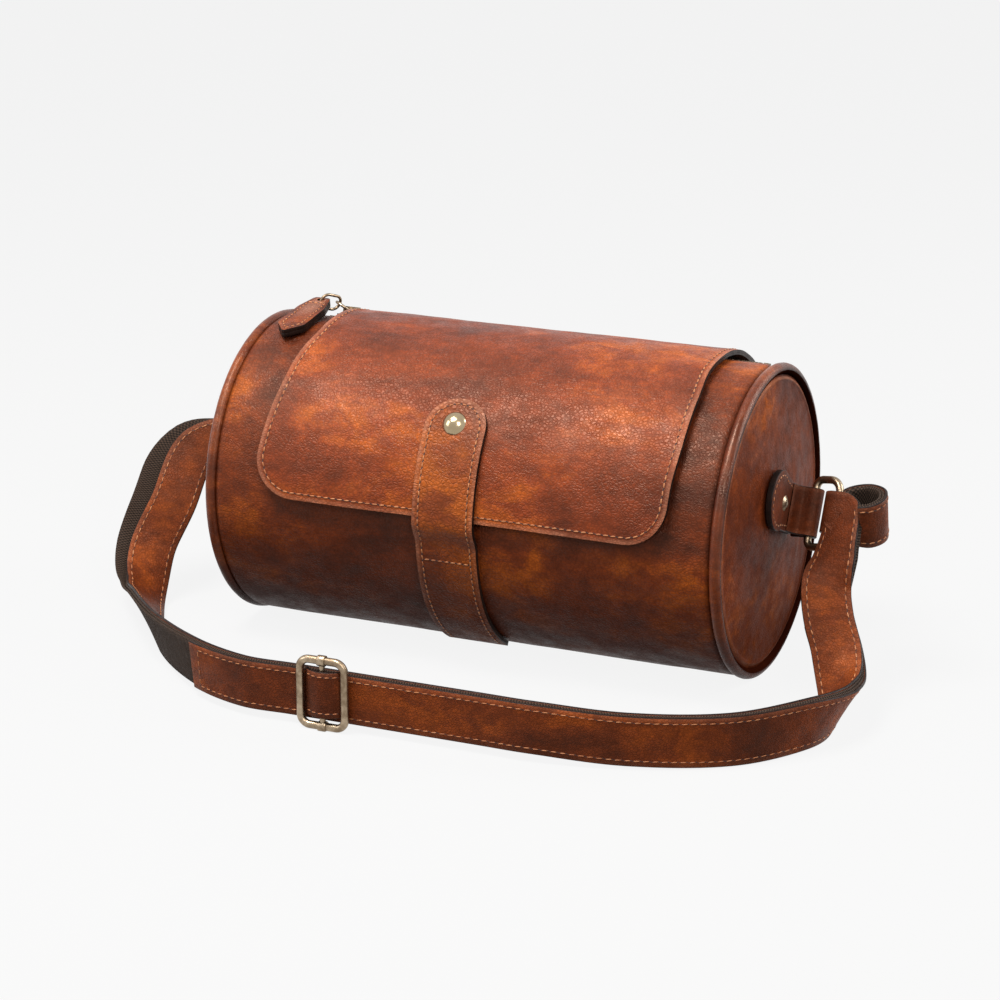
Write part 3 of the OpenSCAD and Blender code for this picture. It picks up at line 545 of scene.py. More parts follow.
def drum_radius(x, angle):
    p = wrap(x, angle, BODY_R)
    from_zip = abs((angle - SLOT_MID + 180) % 360 - 180) * math.pi / 180 * BODY_R
    r = BODY_R - hollow(p, 3.1, 0.050, 0.9 * MM) - hollow(p, 8.7, 0.018, 0.35 * MM)
    r -= LIP_DEPTH * ease((14 * MM - from_zip) / (8 * MM))
    return r - GROOVE_DEPTH * ease((abs(x) - GROOVE_X) / (3.2 * MM))


def drum_point(i, j):
    x, angle = drum_x[i], drum_angles[j]
    p = wrap(x, angle, drum_radius(x, angle))
    p.z = max(p.z, 0.05 * MM)
    return p


bm = bmesh.new()
flat_grid(bm, len(drum_x) - 1, len(drum_angles) - 1, drum_point)
edge_in, groove_shade = layer(bm, "edge_in"), layer(bm, "groove_shade")
for v in bm.verts:
    v[edge_in] = FAR_IN
    # Painted shade mask: 1 in the groove beside the piping, where the leather is darkened.
    v[groove_shade] = ease((abs(v.co.x) - 133.4 * MM) / (2.0 * MM))
bmesh.ops.remove_doubles(bm, verts=bm.verts[:], dist=WELD)
middles = [(f, f.calc_center_median()) for f in bm.faces]
inside_slot = [f for f, c in middles if abs(angle_of(c) - SLOT_MID) < slot_half and abs(c.x) < SLOT_END]
bmesh.ops.delete(bm, geom=inside_slot, context="FACES")
face_out(bm, from_axis)
drum = new_piece(bm, "drum_leather", "root", [tan_leather, edge_paint], ["body_shell"])
thicken(drum, HIDE_T, EDGE_ROUND)

# %% [markdown]
# Each round end is a stiffened disc that bulges a little. A profile from its middle to its rim is spun
# round the drum's axis. Near the rim a low ridge shows where the leather turns over the board's edge
# before it goes under the piping, and that ridge is rubbed lighter.

# %% The round ends
DOME_X = 144.8 * MM
DOME_R = (75 * 75 + 6 * 6) / (2 * 6) * MM
RIDGE_R = 72.4 * MM
PANEL_STEPS = 144
panel_radii = [0.4, 4, 9, 15, 21, 27, 33, 39, 45, 51, 56, 61, 65, 68, 69.5, 70.5, 71.2, 71.8, 72.4, 73.0,
               73.6, 74.2, 74.8, 75.6]


def panel_x(r):
    ridge = 0.7 * MM * math.exp(-((r - RIDGE_R) / (1.1 * MM)) ** 2)
    return DOME_X - DOME_R + math.sqrt(DOME_R ** 2 - r ** 2) + ridge


def spin_round(bm, geom, steps):
    bmesh.ops.spin(bm, geom=geom, cent=(0, 0, AXIS_Z), axis=(1, 0, 0), angle=2 * math.pi, steps=steps,
                   use_merge=True)
    bmesh.ops.remove_doubles(bm, verts=bm.verts[:], dist=WELD)


def round_end(side, name, node):
    bm = bmesh.new()
    edge_in, groove_shade = layer(bm, "edge_in"), layer(bm, "groove_shade")
    verts = [bm.verts.new((side * panel_x(r * MM), 0, AXIS_Z + r * MM)) for r in panel_radii]
    edges = [bm.edges.new(pair) for pair in zip(verts, verts[1:])]
    spin_round(bm, verts + edges, PANEL_STEPS)
    pinhole = [e for e in bm.edges if e.is_boundary and e.calc_length() < 0.1 * MM]
    bmesh.ops.holes_fill(bm, edges=pinhole, sides=0)
    for v in bm.verts:
        r = math.hypot(v.co.y, v.co.z - AXIS_Z)
        v[edge_in] = 3.0 * abs(r - 73.0 * MM)
        # Painted shade mask: 1 at the rim under the piping, where the leather is darkened.
        v[groove_shade] = ease((r - 73.6 * MM) / (1.4 * MM))
        v.co.x -= side * hollow(v.co, 5.3 + side, 0.045, 1.0 * MM) * ease((70 * MM - r) / (12 * MM))
    face_out(bm, lambda p: Vector((side, 0, 0)))
    thicken(new_piece(bm, name, "root", [panel_leather, edge_paint], [node]), HIDE_T, 0)


round_end(-1, "round_end_left", "end_panel_left")
round_end(1, "round_end_right", "end_panel_right")

# %% [markdown]
# Piping is a strip of leather folded over a cord and caught in the seam. A small circle spun about the
# drum's axis gives the roll. Faint swellings along it, where the leather was eased round the curve, keep
# it from looking like a rubber ring.

# %% The piping
PIPING_R = 3.1 * MM
PIPING_MAJOR = 77.5 * MM
PIPING_STEPS = 220


def piping_ring(side, name, node):
    bm = bmesh.new()
    edge_in, groove_shade = layer(bm, "edge_in"), layer(bm, "groove_shade")
    start = Matrix.Translation((side * HALF_L, 0, AXIS_Z + PIPING_MAJOR))
    turn = start @ Matrix.Rotation(math.pi / 2, 4, "X")
    bmesh.ops.create_circle(bm, segments=18, radius=PIPING_R, matrix=turn)
    spin_round(bm, bm.verts[:] + bm.edges[:], PIPING_STEPS)
    for v in bm.verts:
        v[edge_in] = FAR_IN
        middle = Vector((side * HALF_L, 0, AXIS_Z)) + from_axis(v.co) * PIPING_MAJOR
        away = v.co - middle
        # Painted shade mask: the side of the roll toward the drum's axis is darkened.
        v[groove_shade] = 1 - ease((away.dot(from_axis(v.co)) / PIPING_R + 0.15) / 0.6)
        v.co = middle + away * (0.985 - 0.030 * abs(wobble(v.co, 0.006, 4.0 + side)))
        v.co.z = max(v.co.z, 0.02 * MM)
    bmesh.ops.recalc_face_normals(bm, faces=bm.faces[:])
    piece = new_piece(bm, name, "root", [piping_leather], [node], sharp=80)
    print(name, len(piece.data.polygons), "faces")


piping_ring(-1, "piping_roll_left", "piping_left")
piping_ring(1, "piping_roll_right", "piping_right")

# %% [markdown]
# A strip that follows a path, such as a strap ply, a zip tape or a band over a wire, is a long tube with
# a flat rounded section. It has places along it, each with a middle, a width direction and a face
# direction, and a section that runs once round. The section knows which of its points lie on the cut
# edge, and the flat coordinates are kept for the weave.

# %% Strips that follow a path
def strip_section(width, low, high, across=8, corner=0.3 * MM):
    half = width / 2
    top = [(mix(-half + corner, half - corner, i / across), high) for i in range(across + 1)]
    bottom = [(mix(half - corner, -half + corner, i / across), low) for i in range(across + 1)]
    right = [(half, high - corner), (half, low + corner)]
    left = [(-half, low + corner), (-half, high - corner)]
    points = top + right + bottom + left
    cut_edge = {across, across + 1, across + 2, 2 * across + 3, 2 * across + 4, 2 * across + 5}
    return points, cut_edge


def strip_into(bm, stations, section, cut_edge):
    flat = bm.loops.layers.uv.get("flat") or bm.loops.layers.uv.new("flat")
    edge_in = layer(bm, "edge_in")
    lengths = [0.0]
    for a, b in zip(stations, stations[1:]):
        lengths.append(lengths[-1] + (b[0] - a[0]).length)
    around = len(section)
    half = max(k for k, z in section)
    rows, columns = len(stations) - 1, around
    grid = bmesh.ops.create_grid(bm, x_segments=rows, y_segments=columns, size=0.5)["verts"]
    faces = {f for v in grid for f in v.link_faces}
    index = {v: (round((v.co.x + 0.5) * rows), round((v.co.y + 0.5) * columns)) for v in grid}
    for f in faces:
        js = [index[v][1] for v in f.verts]
        f.material_index = 1 if min(js) in cut_edge else 0
        for loop in f.loops:
            i, j = index[loop.vert]
            loop[flat].uv = (lengths[i], section[j % around][0])
    for v in grid:
        i, j = index[v]
        k, z = section[j % around]
        p, w, n = stations[i]
        v.co = p + w * k + n * z
        v.co.z = max(v.co.z, 0.0)
        v[edge_in] = min(half - abs(k), lengths[i] + 0.0002, lengths[-1] - lengths[i] + 0.0002)
    bmesh.ops.remove_doubles(bm, verts=grid, dist=0.002 * MM)
    ends = [e for v in bm.verts if v.is_valid for e in v.link_edges if e.is_boundary]
    made = bmesh.ops.holes_fill(bm, edges=list(set(ends)), sides=0)["faces"]
    for f in made:
        f.material_index = 1
    return lengths[-1]


def strip_piece(name, body, materials, stations, section, replaced=()):
    bm = bmesh.new()
    length = strip_into(bm, stations, *section)
    bmesh.ops.recalc_face_normals(bm, faces=bm.faces[:])
    piece = new_piece(bm, name, body, materials, replaced, sharp=50)
    print(name, "length", round(length, 4), "m,", len(piece.data.polygons), "faces")
    return piece


# %% [markdown]
# The zip tapes lie under the slot, one on each side of the teeth. Each is a flat grid wrapped a little
# inside the drum's own curve, and it keeps its flat coordinates for the weave. A row of small stitches
# runs round the slot.

# %% The zip tapes
TAPE_R = 77.9 * MM
TAPE_T = 0.7 * MM
TAPE_W = 12.4 * MM
TAPE_EDGE = 0.6 * MM
TAPE_END = 133.5 * MM


def zip_tape(name, node, sign):
    bm = bmesh.new()
    flat = bm.loops.layers.uv.new("flat")
    across = [mix(TAPE_EDGE, TAPE_EDGE + TAPE_W, i / 8) for i in range(9)]

    def place(i, j):
        return wrap(mix(-TAPE_END, TAPE_END, i / 40), SLOT_MID + sign * arc_angle(across[j], TAPE_R), TAPE_R)

    flat_grid(bm, 40, 8, place)
    face_out(bm, from_axis)
    for f in bm.faces:
        for loop in f.loops:
            loop[flat].uv = (loop.vert.co.x, math.radians(angle_of(loop.vert.co) - SLOT_MID) * TAPE_R)
    piece = new_piece(bm, name, "root", [tape_weave, tape_weave], [node])
    thicken(piece, TAPE_T, 0)


zip_tape("zip_tape_front_cloth", "zip_tape_front", 1)
zip_tape("zip_tape_rear_cloth", "zip_tape_rear", -1)

THREAD_LIFT = 0.05 * MM
SLOT_SEAM_END = 129 * MM
slot_seam = arc_angle(SLOT_HALF_W + 2.2 * MM, BODY_R)


def on_drum(x, angle):
    return wrap(x, angle, drum_radius(x, angle) + THREAD_LIFT), outward(angle)


slot_seams = [[on_drum(mix(-SLOT_SEAM_END, SLOT_SEAM_END, i / 60), SLOT_MID + sign * slot_seam)
               for i in range(61)] for sign in (-1, 1)]
slot_seams += [[on_drum(x, SLOT_MID + mix(-slot_seam, slot_seam, i / 8)) for i in range(9)]
               for x in (-GROOVE_X, GROOVE_X)]
seam_piece("slot_stitches", "root", slot_seams, pitch=3.4 * MM, length=2.6 * MM)

# %% [markdown]
# The flap is one hide cut with two rounded lower corners. Its sides aren't quite straight, so they come
# from two small tables of shares of the drum's half length. Rows of the grid crowd together in the
# corners. Behind the zip the same hide dips to the drum, where it is sewn down, and that rear edge stays
# on the drum while the rest bends open.

# %% The flap's outline
FLAP_R = 84.5 * MM
FLAP_T = 1.5 * MM
LINING_R = 82.9 * MM
LINING_T = 0.9 * MM
FLAP_REAR = -36.0
FLAP_FRONT = 85.0
FLAP_SEWN = -43.0
CORNER_R = 21 * MM
TAB_X = -3 * MM
left_shares = [(-50, -0.708), (-40, -0.710), (-28, -0.717), (-15, -0.728), (15, -0.728), (36, -0.755),
               (73, -0.793), (90, -0.800)]
right_shares = [(-50, 0.818), (-40, 0.819), (-15, 0.822), (15, 0.822), (30, 0.835), (50, 0.836), (64, 0.826),
                (90, 0.820)]


def looked_up(table, a):
    for (a0, s0), (a1, s1) in zip(table, table[1:]):
        if a <= a1:
            return HALF_L * mix(s0, s1, ease((a - a0) / (a1 - a0)) * 0.5 + 0.5 * (a - a0) / (a1 - a0))
    return HALF_L * table[-1][1]


corner_turn = arc_angle(CORNER_R, FLAP_R)
knee = FLAP_FRONT - corner_turn
left_knee, right_knee = looked_up(left_shares, knee), looked_up(right_shares, knee)


def flap_limits(a, inset=0.0):
    left, right = looked_up(left_shares, min(a, knee)), looked_up(right_shares, min(a, knee))
    cut_in = 0.0
    if a > knee:
        r = CORNER_R - inset
        down = min(math.radians(a - knee) * FLAP_R / r, 1.0)
        cut_in = r * (1 - math.sqrt(1 - down * down))
    return left + inset + cut_in, right - inset - cut_in


def flap_rows(first):
    straight = [mix(first, knee, i / 76) for i in range(77)]
    return straight + [knee + corner_turn * math.sin(math.pi / 2 * i / 18) for i in range(1, 19)]


def flap_rise(x, a, r):
    p = wrap(x, a, r)
    lift = 0.35 * MM * wobble(p, 0.040, 6.2) + 0.25 * MM * wobble(p, 0.015, 2.2)
    loose = ease((a - 40) / 45) * ease((abs(x - TAB_X) - 22 * MM) / (20 * MM))
    lift += loose * 0.7 * MM * (0.6 + wobble((x, 0, 0), 0.06, 1.4))
    rear = ease((FLAP_REAR + 1.0 - a) / 5.5)
    held = ease((a - FLAP_REAR) / 8)
    over_tab = ease((24 * MM - abs(x - TAB_X)) / (8 * MM)) * ease((a - 34) / 6)
    return r + lift * held * (1 - over_tab) - rear * (FLAP_R - FLAP_T - BODY_R - 0.15 * MM)


def distance_to_edge(x, a):
    left, right = flap_limits(a)
    side = min(x - left, right - x)
    end = math.radians(FLAP_FRONT - a) * FLAP_R
    if a > knee:
        for sign, edge in ((1, left_knee), (-1, right_knee)):
            cx = edge + sign * CORNER_R
            if (x - cx) * sign < 0:
                away = math.hypot(x - cx, math.radians(a - knee) * FLAP_R)
                return max(CORNER_R - away, 0.0)
    return max(min(side, end), 0.0)


def layer_in_rows(rows, columns, point_at):
    bm = bmesh.new()
    edge_in = layer(bm, "edge_in")
    marks = {}

    def place(i, j):
        p, away = point_at(i / columns, rows[j])
        marks[tuple(round(c, 7) for c in p)] = away
        return p

    flat_grid(bm, columns, len(rows) - 1, place)
    for v in bm.verts:
        v[edge_in] = marks.get(tuple(round(c, 7) for c in v.co), FAR_IN)
    face_out(bm, from_axis)
    return bm


def flap_layer(name, first, r, thickness, materials, replaced, edge_round):
    def point_at(t, a):
        x = mix(*flap_limits(a), t)
        return wrap(x, a, flap_rise(x, a, r)), distance_to_edge(x, a)

    piece = new_piece(layer_in_rows(flap_rows(first), 110, point_at), name, None, materials)
    thicken(piece, thickness, edge_round)
    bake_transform(piece, "root", "flap", start=wrap(0, -38.5, 0.083), end=wrap(0, -24.0, 0.083))
    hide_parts(*replaced)


flap_layer("flap_hide", FLAP_SEWN, FLAP_R, FLAP_T, [flap_leather, edge_paint],
           ["flap_outer", "flap_seam_strip"], EDGE_ROUND)
flap_layer("flap_split", FLAP_REAR, LINING_R, LINING_T, [suede, edge_paint],
           ["flap_lining"], 0)

# %% [markdown]
# One seam runs down the left side of the flap, round both corners and up the right side, 3.5 mm in from
# the edge. Two more rows hold the rear edge to the drum. The side seams bend with the flap, so their
# stitches bend between the same two bodies.

# %% Stitches on the flap
def on_flap(x, a):
    return wrap(x, a, flap_rise(x, a, FLAP_R) + THREAD_LIFT), outward(a)


def flap_seam(inset):
    sides = [mix(FLAP_REAR - 4, knee, i / 60) for i in range(61)]
    r = CORNER_R - inset
    turns = [math.pi / 2 * i / 12 for i in range(13)]
    corner = [(r * (1 - math.cos(b)), knee + arc_angle(r * math.sin(b), FLAP_R)) for b in turns]
    seam = [(flap_limits(a, inset)[0], a) for a in sides]
    seam += [(left_knee + inset + cut, a) for cut, a in corner[1:]]
    x, end = seam[-1]
    seam += [(mix(x, right_knee - CORNER_R, i / 40), end) for i in range(1, 41)]
    seam += [(right_knee - inset - cut, a) for cut, a in reversed(corner[:-1])]
    seam += [(flap_limits(a, inset)[1], a) for a in reversed(sides[:-1])]
    return [on_flap(x, a) for x, a in seam]


flap_stitches = seam_piece("flap_stitches", None, [flap_seam(3.4 * MM)], pitch=3.9 * MM, length=3.0 * MM)
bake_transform(flap_stitches, "root", "flap", start=wrap(0, -38.5, 0.083), end=wrap(0, -24.0, 0.083))
rear_seams = []
for a in (-41.6, -39.4):
    left, right = flap_limits(a, 4 * MM)
    rear_seams.append([on_flap(mix(left, right, i / 50), a) for i in range(51)])
seam_piece("rear_stitches", "root", rear_seams)

# %% [markdown]
# The closure tab is a strap with a round end. It is sewn flat under the drum, crosses the front, steps
# up over the flap's edge and snaps to it with a domed cap. It is a strip of leather over a lining, and
# both bend at the cross seam.

# %% The closure tab
TAB_R = 87 * MM
TAB_OVER_FLAP = 84.6 * MM
TAB_ON_DRUM = 80.1 * MM
TAB_W = 33 * MM
TAB_TOP = 43.0
TAB_SEWN = 101.0
TAB_END = 150.0
TAB_T = 1.5 * MM
TAB_SEAM_RISE = 2.55 * MM


def tab_radius(a):
    return mix(TAB_OVER_FLAP, TAB_ON_DRUM, ease((a - FLAP_FRONT - 1.5) / 9))


tab_turn = arc_angle(TAB_W / 2, TAB_R)


def tab_half_width(a, inset=0.0):
    r = TAB_W / 2 - inset
    top = TAB_TOP + arc_angle(inset, TAB_R)
    up = 1 - min(max((a - top) / arc_angle(r, TAB_R), 0.0), 1.0)
    return r * math.sqrt(max(1 - up * up, 0.0))


def on_tab(k, a, rise):
    sway = 0.5 * MM * math.sin(math.radians(3.2 * (a - TAB_TOP)))
    return wrap(TAB_X + k + sway * ease((a - 90) / 30), a, tab_radius(a) + rise)


def tab_layer(name, lift, thickness, materials, replaced, edge_round):
    rows = [TAB_TOP + tab_turn * (1 - math.cos(math.pi / 2 * i / 16)) for i in range(1, 17)]
    rows += [mix(TAB_TOP + tab_turn, TAB_END, i / 70) for i in range(1, 71)]

    def point_at(t, a):
        half = tab_half_width(a)
        k = mix(-half, half, t)
        away = half - abs(k)
        if a < TAB_TOP + tab_turn:
            away = TAB_W / 2 - math.hypot(k, math.radians(TAB_TOP + tab_turn - a) * TAB_R)
        return on_tab(k, a, lift + thickness), max(away, 0.0)

    piece = new_piece(layer_in_rows(rows, 20, point_at), name, None, materials)
    thicken(piece, thickness, edge_round)
    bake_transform(piece, "root", "tab", start=wrap(0, 104, 0.082), end=wrap(0, 95, 0.082))
    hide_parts(*replaced)


tab_leather = leather("tab_leather", (0.080, 0.016, 0.006), (0.22, 0.044, 0.011), (0.41, 0.092, 0.012),
                      gloss=0.40, rubbed_share=0.45, shift=0.04, underside_shade=0.8, shine=0.4)
tab_layer("tab_hide", LINING_T + 0.1 * MM, TAB_T, [tab_leather, edge_paint],
          ["closure_tab", "closure_tab_base"], EDGE_ROUND)
tab_layer("tab_split", 0.0, LINING_T, [suede, edge_paint], ["closure_tab_lining"], 0)


def tab_seam(inset):
    angles = [mix(TAB_END - 1, TAB_TOP + tab_turn, i / 60) for i in range(61)]
    seam = [(-tab_half_width(a, inset), a) for a in angles]
    r = TAB_W / 2 - inset
    turns = [math.pi * i / 24 for i in range(1, 24)]
    seam += [(-math.cos(b) * r, TAB_TOP + tab_turn - arc_angle(r * math.sin(b), TAB_R)) for b in turns]
    seam += [(tab_half_width(a, inset), a) for a in reversed(angles)]
    return [(on_tab(k, a, TAB_SEAM_RISE), outward(a)) for k, a in seam]


cross = [(wrap(TAB_X + mix(-12.5, 12.5, i / 10) * MM, TAB_SEWN, tab_radius(TAB_SEWN) + TAB_SEAM_RISE),
          outward(TAB_SEWN)) for i in range(11)]
tab_stitches = seam_piece("tab_stitches", None, [tab_seam(3.3 * MM), cross], pitch=3.6 * MM, length=2.8 * MM)
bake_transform(tab_stitches, "root", "tab", start=wrap(0, 104, 0.082), end=wrap(0, 95, 0.082))

# %% [markdown]
# The side leathers hold the rings. Each is a round tongue on the end of the drum with a rivet, whose band
# runs out round the ring's bar and back. Points here are in the side's own frame: out from the end,
# toward the band, and along the bar, which leans back by 28 degrees.

# %% The side leathers
SIDE_TILT = math.radians(28)
SIDE_RISE = 9 * MM
TONGUE_X = 144.9 * MM
TONGUE_T = 3 * MM
TONGUE_R = 15.5 * MM
TONGUE_BACK = 13.5 * MM
TONGUE_STEPS = 29
BAR_X = 157 * MM
BAR_Y = 12 * MM
BAND_W = 25 * MM
BAND_T = 2.4 * MM
BAND_R = 3.25 * MM


def side_point(side, x, y, z):
    z = z + SIDE_RISE
    return Vector((side * x, y * math.cos(SIDE_TILT) + z * math.sin(SIDE_TILT),
                   AXIS_Z - y * math.sin(SIDE_TILT) + z * math.cos(SIDE_TILT)))


def side_turn(side, x, y, z):
    return side_point(side, x, y, z) - side_point(side, 0, 0, 0)


def tongue_outline(inset):
    r = TONGUE_R - inset
    half = BAND_W / 2 - inset
    turns = [math.radians(mix(62, 360 - 62, i / (TONGUE_STEPS - 1))) for i in range(TONGUE_STEPS)]
    points = [(-TONGUE_BACK + r * math.cos(b), r * math.sin(b)) for b in turns]
    return points + [(6.5 * MM, -half), (11 * MM, -half), (11 * MM, half), (6.5 * MM, half)]


def smooth_line(points, steps):
    line = []
    for i in range(len(points) - 1):
        a, b = points[max(i - 1, 0)], points[i]
        c, d = points[i + 1], points[min(i + 2, len(points) - 1)]
        for j in range(steps if i < len(points) - 2 else steps + 1):
            t = j / steps
            line.append(0.5 * ((2 * b) + (c - a) * t + (2 * a - 5 * b + 4 * c - d) * t * t
                               + (3 * b - a - 3 * c + d) * t ** 3))
    return line


def round_edges(bm, edges):
    bmesh.ops.bevel(bm, geom=edges, offset=0.5 * MM, segments=3, profile=0.5, affect="EDGES", material=-1)


def side_leather(side, name, node):
    bm = bmesh.new()
    band = [Vector(p) * MM for p in ((147.2, 2.0, 0), (149.0, 6.2, 0), (151.6, 8.6, 0), (154.6, 8.9, 0))]
    band += [Vector((BAR_X + BAND_R * math.sin(b), BAR_Y - BAND_R * math.cos(b), 0))
             for b in (math.radians(d) for d in (0, 45, 90, 135, 180))]
    band += [Vector(p) * MM for p in ((154.0, 14.6, 0), (150.6, 14.9, 0), (147.2, 17.0, 0))]
    line = smooth_line(band, 9)
    stations = []
    for i, p in enumerate(line):
        run_dir = (line[min(i + 1, len(line) - 1)] - line[max(i - 1, 0)]).normalized()
        face = Vector((run_dir.y, -run_dir.x, 0))
        stations.append((side_point(side, *p), side_turn(side, 0, 0, 1), side_turn(side, *face)))
    strip_into(bm, stations, *strip_section(BAND_W, -BAND_T / 2, BAND_T / 2, across=8, corner=0.4 * MM))
    before = set(bm.verts)
    ring = [bm.verts.new(side_point(side, TONGUE_X, y, z)) for y, z in tongue_outline(0)]
    base = bm.faces.new(ring)
    lifted = bmesh.ops.extrude_face_region(bm, geom=[base])["geom"]
    top_verts = [g for g in lifted if isinstance(g, bmesh.types.BMVert)]
    top_face = [g for g in lifted if isinstance(g, bmesh.types.BMFace)][0]
    bmesh.ops.translate(bm, verts=top_verts, vec=side_turn(side, TONGUE_T, 0, 0))
    for v in ring:
        for f in v.link_faces:
            f.material_index = 1
    top_face.material_index = 0
    round_edges(bm, list(top_face.edges))
    plates = [f for f in bm.faces if f.is_valid and len(f.verts) > 12]
    bmesh.ops.inset_region(bm, faces=plates, thickness=2.2 * MM, depth=0.0)
    edge_in = layer(bm, "edge_in")
    for v in bm.verts:
        if v not in before:
            v[edge_in] = 4 * MM
    bmesh.ops.recalc_face_normals(bm, faces=bm.faces[:])
    piece = new_piece(bm, name, None, [strap_leather, edge_paint], sharp=40)
    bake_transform(piece, "root", "strap", start=side_point(side, 148.4 * MM, 0, 0),
             end=side_point(side, 153.5 * MM, 0, 0))
    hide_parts(node)
    print(name, len(piece.data.polygons), "faces")
    sewn = [(4 * MM, 9.5 * MM), *tongue_outline(2.8 * MM)[:TONGUE_STEPS], (4 * MM, -9.5 * MM)]
    seam = [(side_point(side, TONGUE_X + TONGUE_T, y, z), side_turn(side, 1, 0, 0)) for y, z in sewn]
    seam_piece(name + "_stitches", "root", [seam], pitch=3.4 * MM, length=2.6 * MM)


side_leather(-1, "side_leather_left", "chape_left")
side_leather(1, "side_leather_right", "chape_right")

# %% [markdown]
# The strap is four plies on one path: two of leather outside and two of webbing between them. The path
# wraps each ring's bow, hangs to the floor, and lies in a loop in front of the drum. It is drawn through
# a few places, each with a middle and a width direction.

# %% The places the strap goes through
STRAP_W = 25 * MM
STRAP_STEPS = 10
LEATHER_T = 1.5 * MM
WEB_T = 1.3 * MM
PLY_GAP = 0.1 * MM
WEB_IN = PLY_GAP
WEB_OUT = WEB_IN + WEB_T
FACE_IN = WEB_OUT + PLY_GAP
FACE_OUT = FACE_IN + LEATHER_T
FRONT_Y = -160 * MM
FRONT_Z = 16.8 * MM
RING_LEAN = math.radians(25)
RING_DEPTH = 16 * MM
FOLD_R = 2.8 * MM
BOW_X = BAR_X + RING_DEPTH * math.cos(RING_LEAN)
bow_back = BAR_Y - RING_DEPTH * math.sin(RING_LEAN)
BOW = Vector((0, bow_back * math.cos(SIDE_TILT) + SIDE_RISE * math.sin(SIDE_TILT),
              AXIS_Z + SIDE_RISE * math.cos(SIDE_TILT) - bow_back * math.sin(SIDE_TILT)))
bow_dir = Vector((0, math.sin(SIDE_TILT), math.cos(SIDE_TILT)))
bow_side = Vector((0, math.cos(SIDE_TILT), -math.sin(SIDE_TILT)))


def spot(xs, ys, zs, w):
    return Vector((xs * HALF_L, ys * BODY_R, AXIS_Z + zs * BODY_R)), Vector(w)


def floor_spot(xs, ys, w, lift_share):
    w = Vector(w)
    return Vector((xs * HALF_L, ys * BODY_R, -w.z / w.length * STRAP_W / 2 + lift_share * FACE_OUT)), w


def front_spot(xs):
    return Vector((xs * HALF_L, FRONT_Y, FRONT_Z)), Vector((0, 0, -1))


def fold_spots(side, r):
    spots = []
    for a in (140, 95, 50, 0):
        b = math.radians(a)
        at = Vector((side * (BOW_X - r * math.sin(b)), BOW.y, BOW.z)) + r * math.cos(b) * bow_side
        spots.append((at, -bow_dir))
    spots.append((Vector((side * (BOW_X + 5 * MM), BOW.y, BOW.z)) + r * bow_side, -bow_dir))
    return spots


left_fold = fold_spots(-1, FOLD_R + FACE_OUT)
left_spots = [
    spot(-1.40, 0.06, -0.06, (0.5, -0.30, -0.80)),
    spot(-1.43, -0.18, -0.37, (0.80, 0.16, -0.45)),
    spot(-1.47, -0.36, -0.64, (0.84, 0.30, -0.42)),
    floor_spot(-1.44, -0.58, (0.60, 0.55, -0.58), 1),
    floor_spot(-1.32, -0.93, (0.35, 0.55, -0.75), 1),
    floor_spot(-1.12, -1.38, (0, 0.40, -0.90), 0.8),
    (Vector((-0.80 * HALF_L, -1.84 * BODY_R, FRONT_Z)), Vector((0, 0.1, -1))),
    front_spot(-0.56)]
middle_spots = [front_spot(-0.36), front_spot(0), front_spot(0.36)]
right_spots = [
    front_spot(0.56),
    floor_spot(0.88, -1.88, (0, 0, -1), 0.6),
    floor_spot(1.20, -1.60, (0, 0, -1), 0.2),
    floor_spot(1.40, -1.20, (-0.14, 0, -0.99), 0.5),
    floor_spot(1.45, -0.86, (-0.45, 0.10, -0.88), 0.6),
    spot(1.417, -0.625, -0.795, (-0.80, -0.05, -0.58)),
    spot(1.362, -0.444, -0.632, (-0.93, -0.28, -0.25)),
    spot(1.308, -0.344, -0.458, (-0.91, -0.38, -0.16)),
    spot(1.279, -0.250, -0.295, (-0.88, -0.44, -0.22)),
    spot(1.290, -0.119, -0.139, (-0.80, -0.15, -0.58))]


def bow_spot(out, side, up=0.0):
    return Vector((BOW_X + out * MM, BOW.y, BOW.z)) + side * MM * bow_side + up * MM * bow_dir, -bow_dir


WRAP_R = 3.9
ring_spots = [(bow_spot(5.5, -4.8, -1.0)[0], Vector((-0.30, -0.45, -0.85)))]
for a in (0, 45, 90, 135):
    b = math.radians(a)
    ring_spots.append(bow_spot(-WRAP_R * math.sin(b), -WRAP_R * math.cos(b)))
loop_across = Vector((0, 0.20, -0.98)).normalized()
loop_back = Vector((0, 0.98, 0.20)).normalized()
loop_spots = [bow_spot(1.5, 4.6)]
for out, behind in ((7, 9.5), (14, 12), (21, 8.5), (23, 0), (19.5, -6.5), (14, -8)):
    loop_spots.append((Vector((BOW_X + out * MM, BOW.y, BOW.z)) + behind * MM * loop_back, loop_across))
strap_spots = left_fold + left_spots + middle_spots + right_spots + ring_spots + loop_spots
print("strap drawn through", len(strap_spots), "places")

# %% [markdown]
# The places are joined by curves whose tangents are weighed by the gaps between them, so that the ply
# never overshoots. Near a ring's bow the strap is a little narrower. Below the left ring the outer webbing
# hangs slack, a little beside and behind the other plies, so that its dark edge shows.

# %% The strap's path
SLACK_BEHIND = 5
SLACK_BESIDE = 11

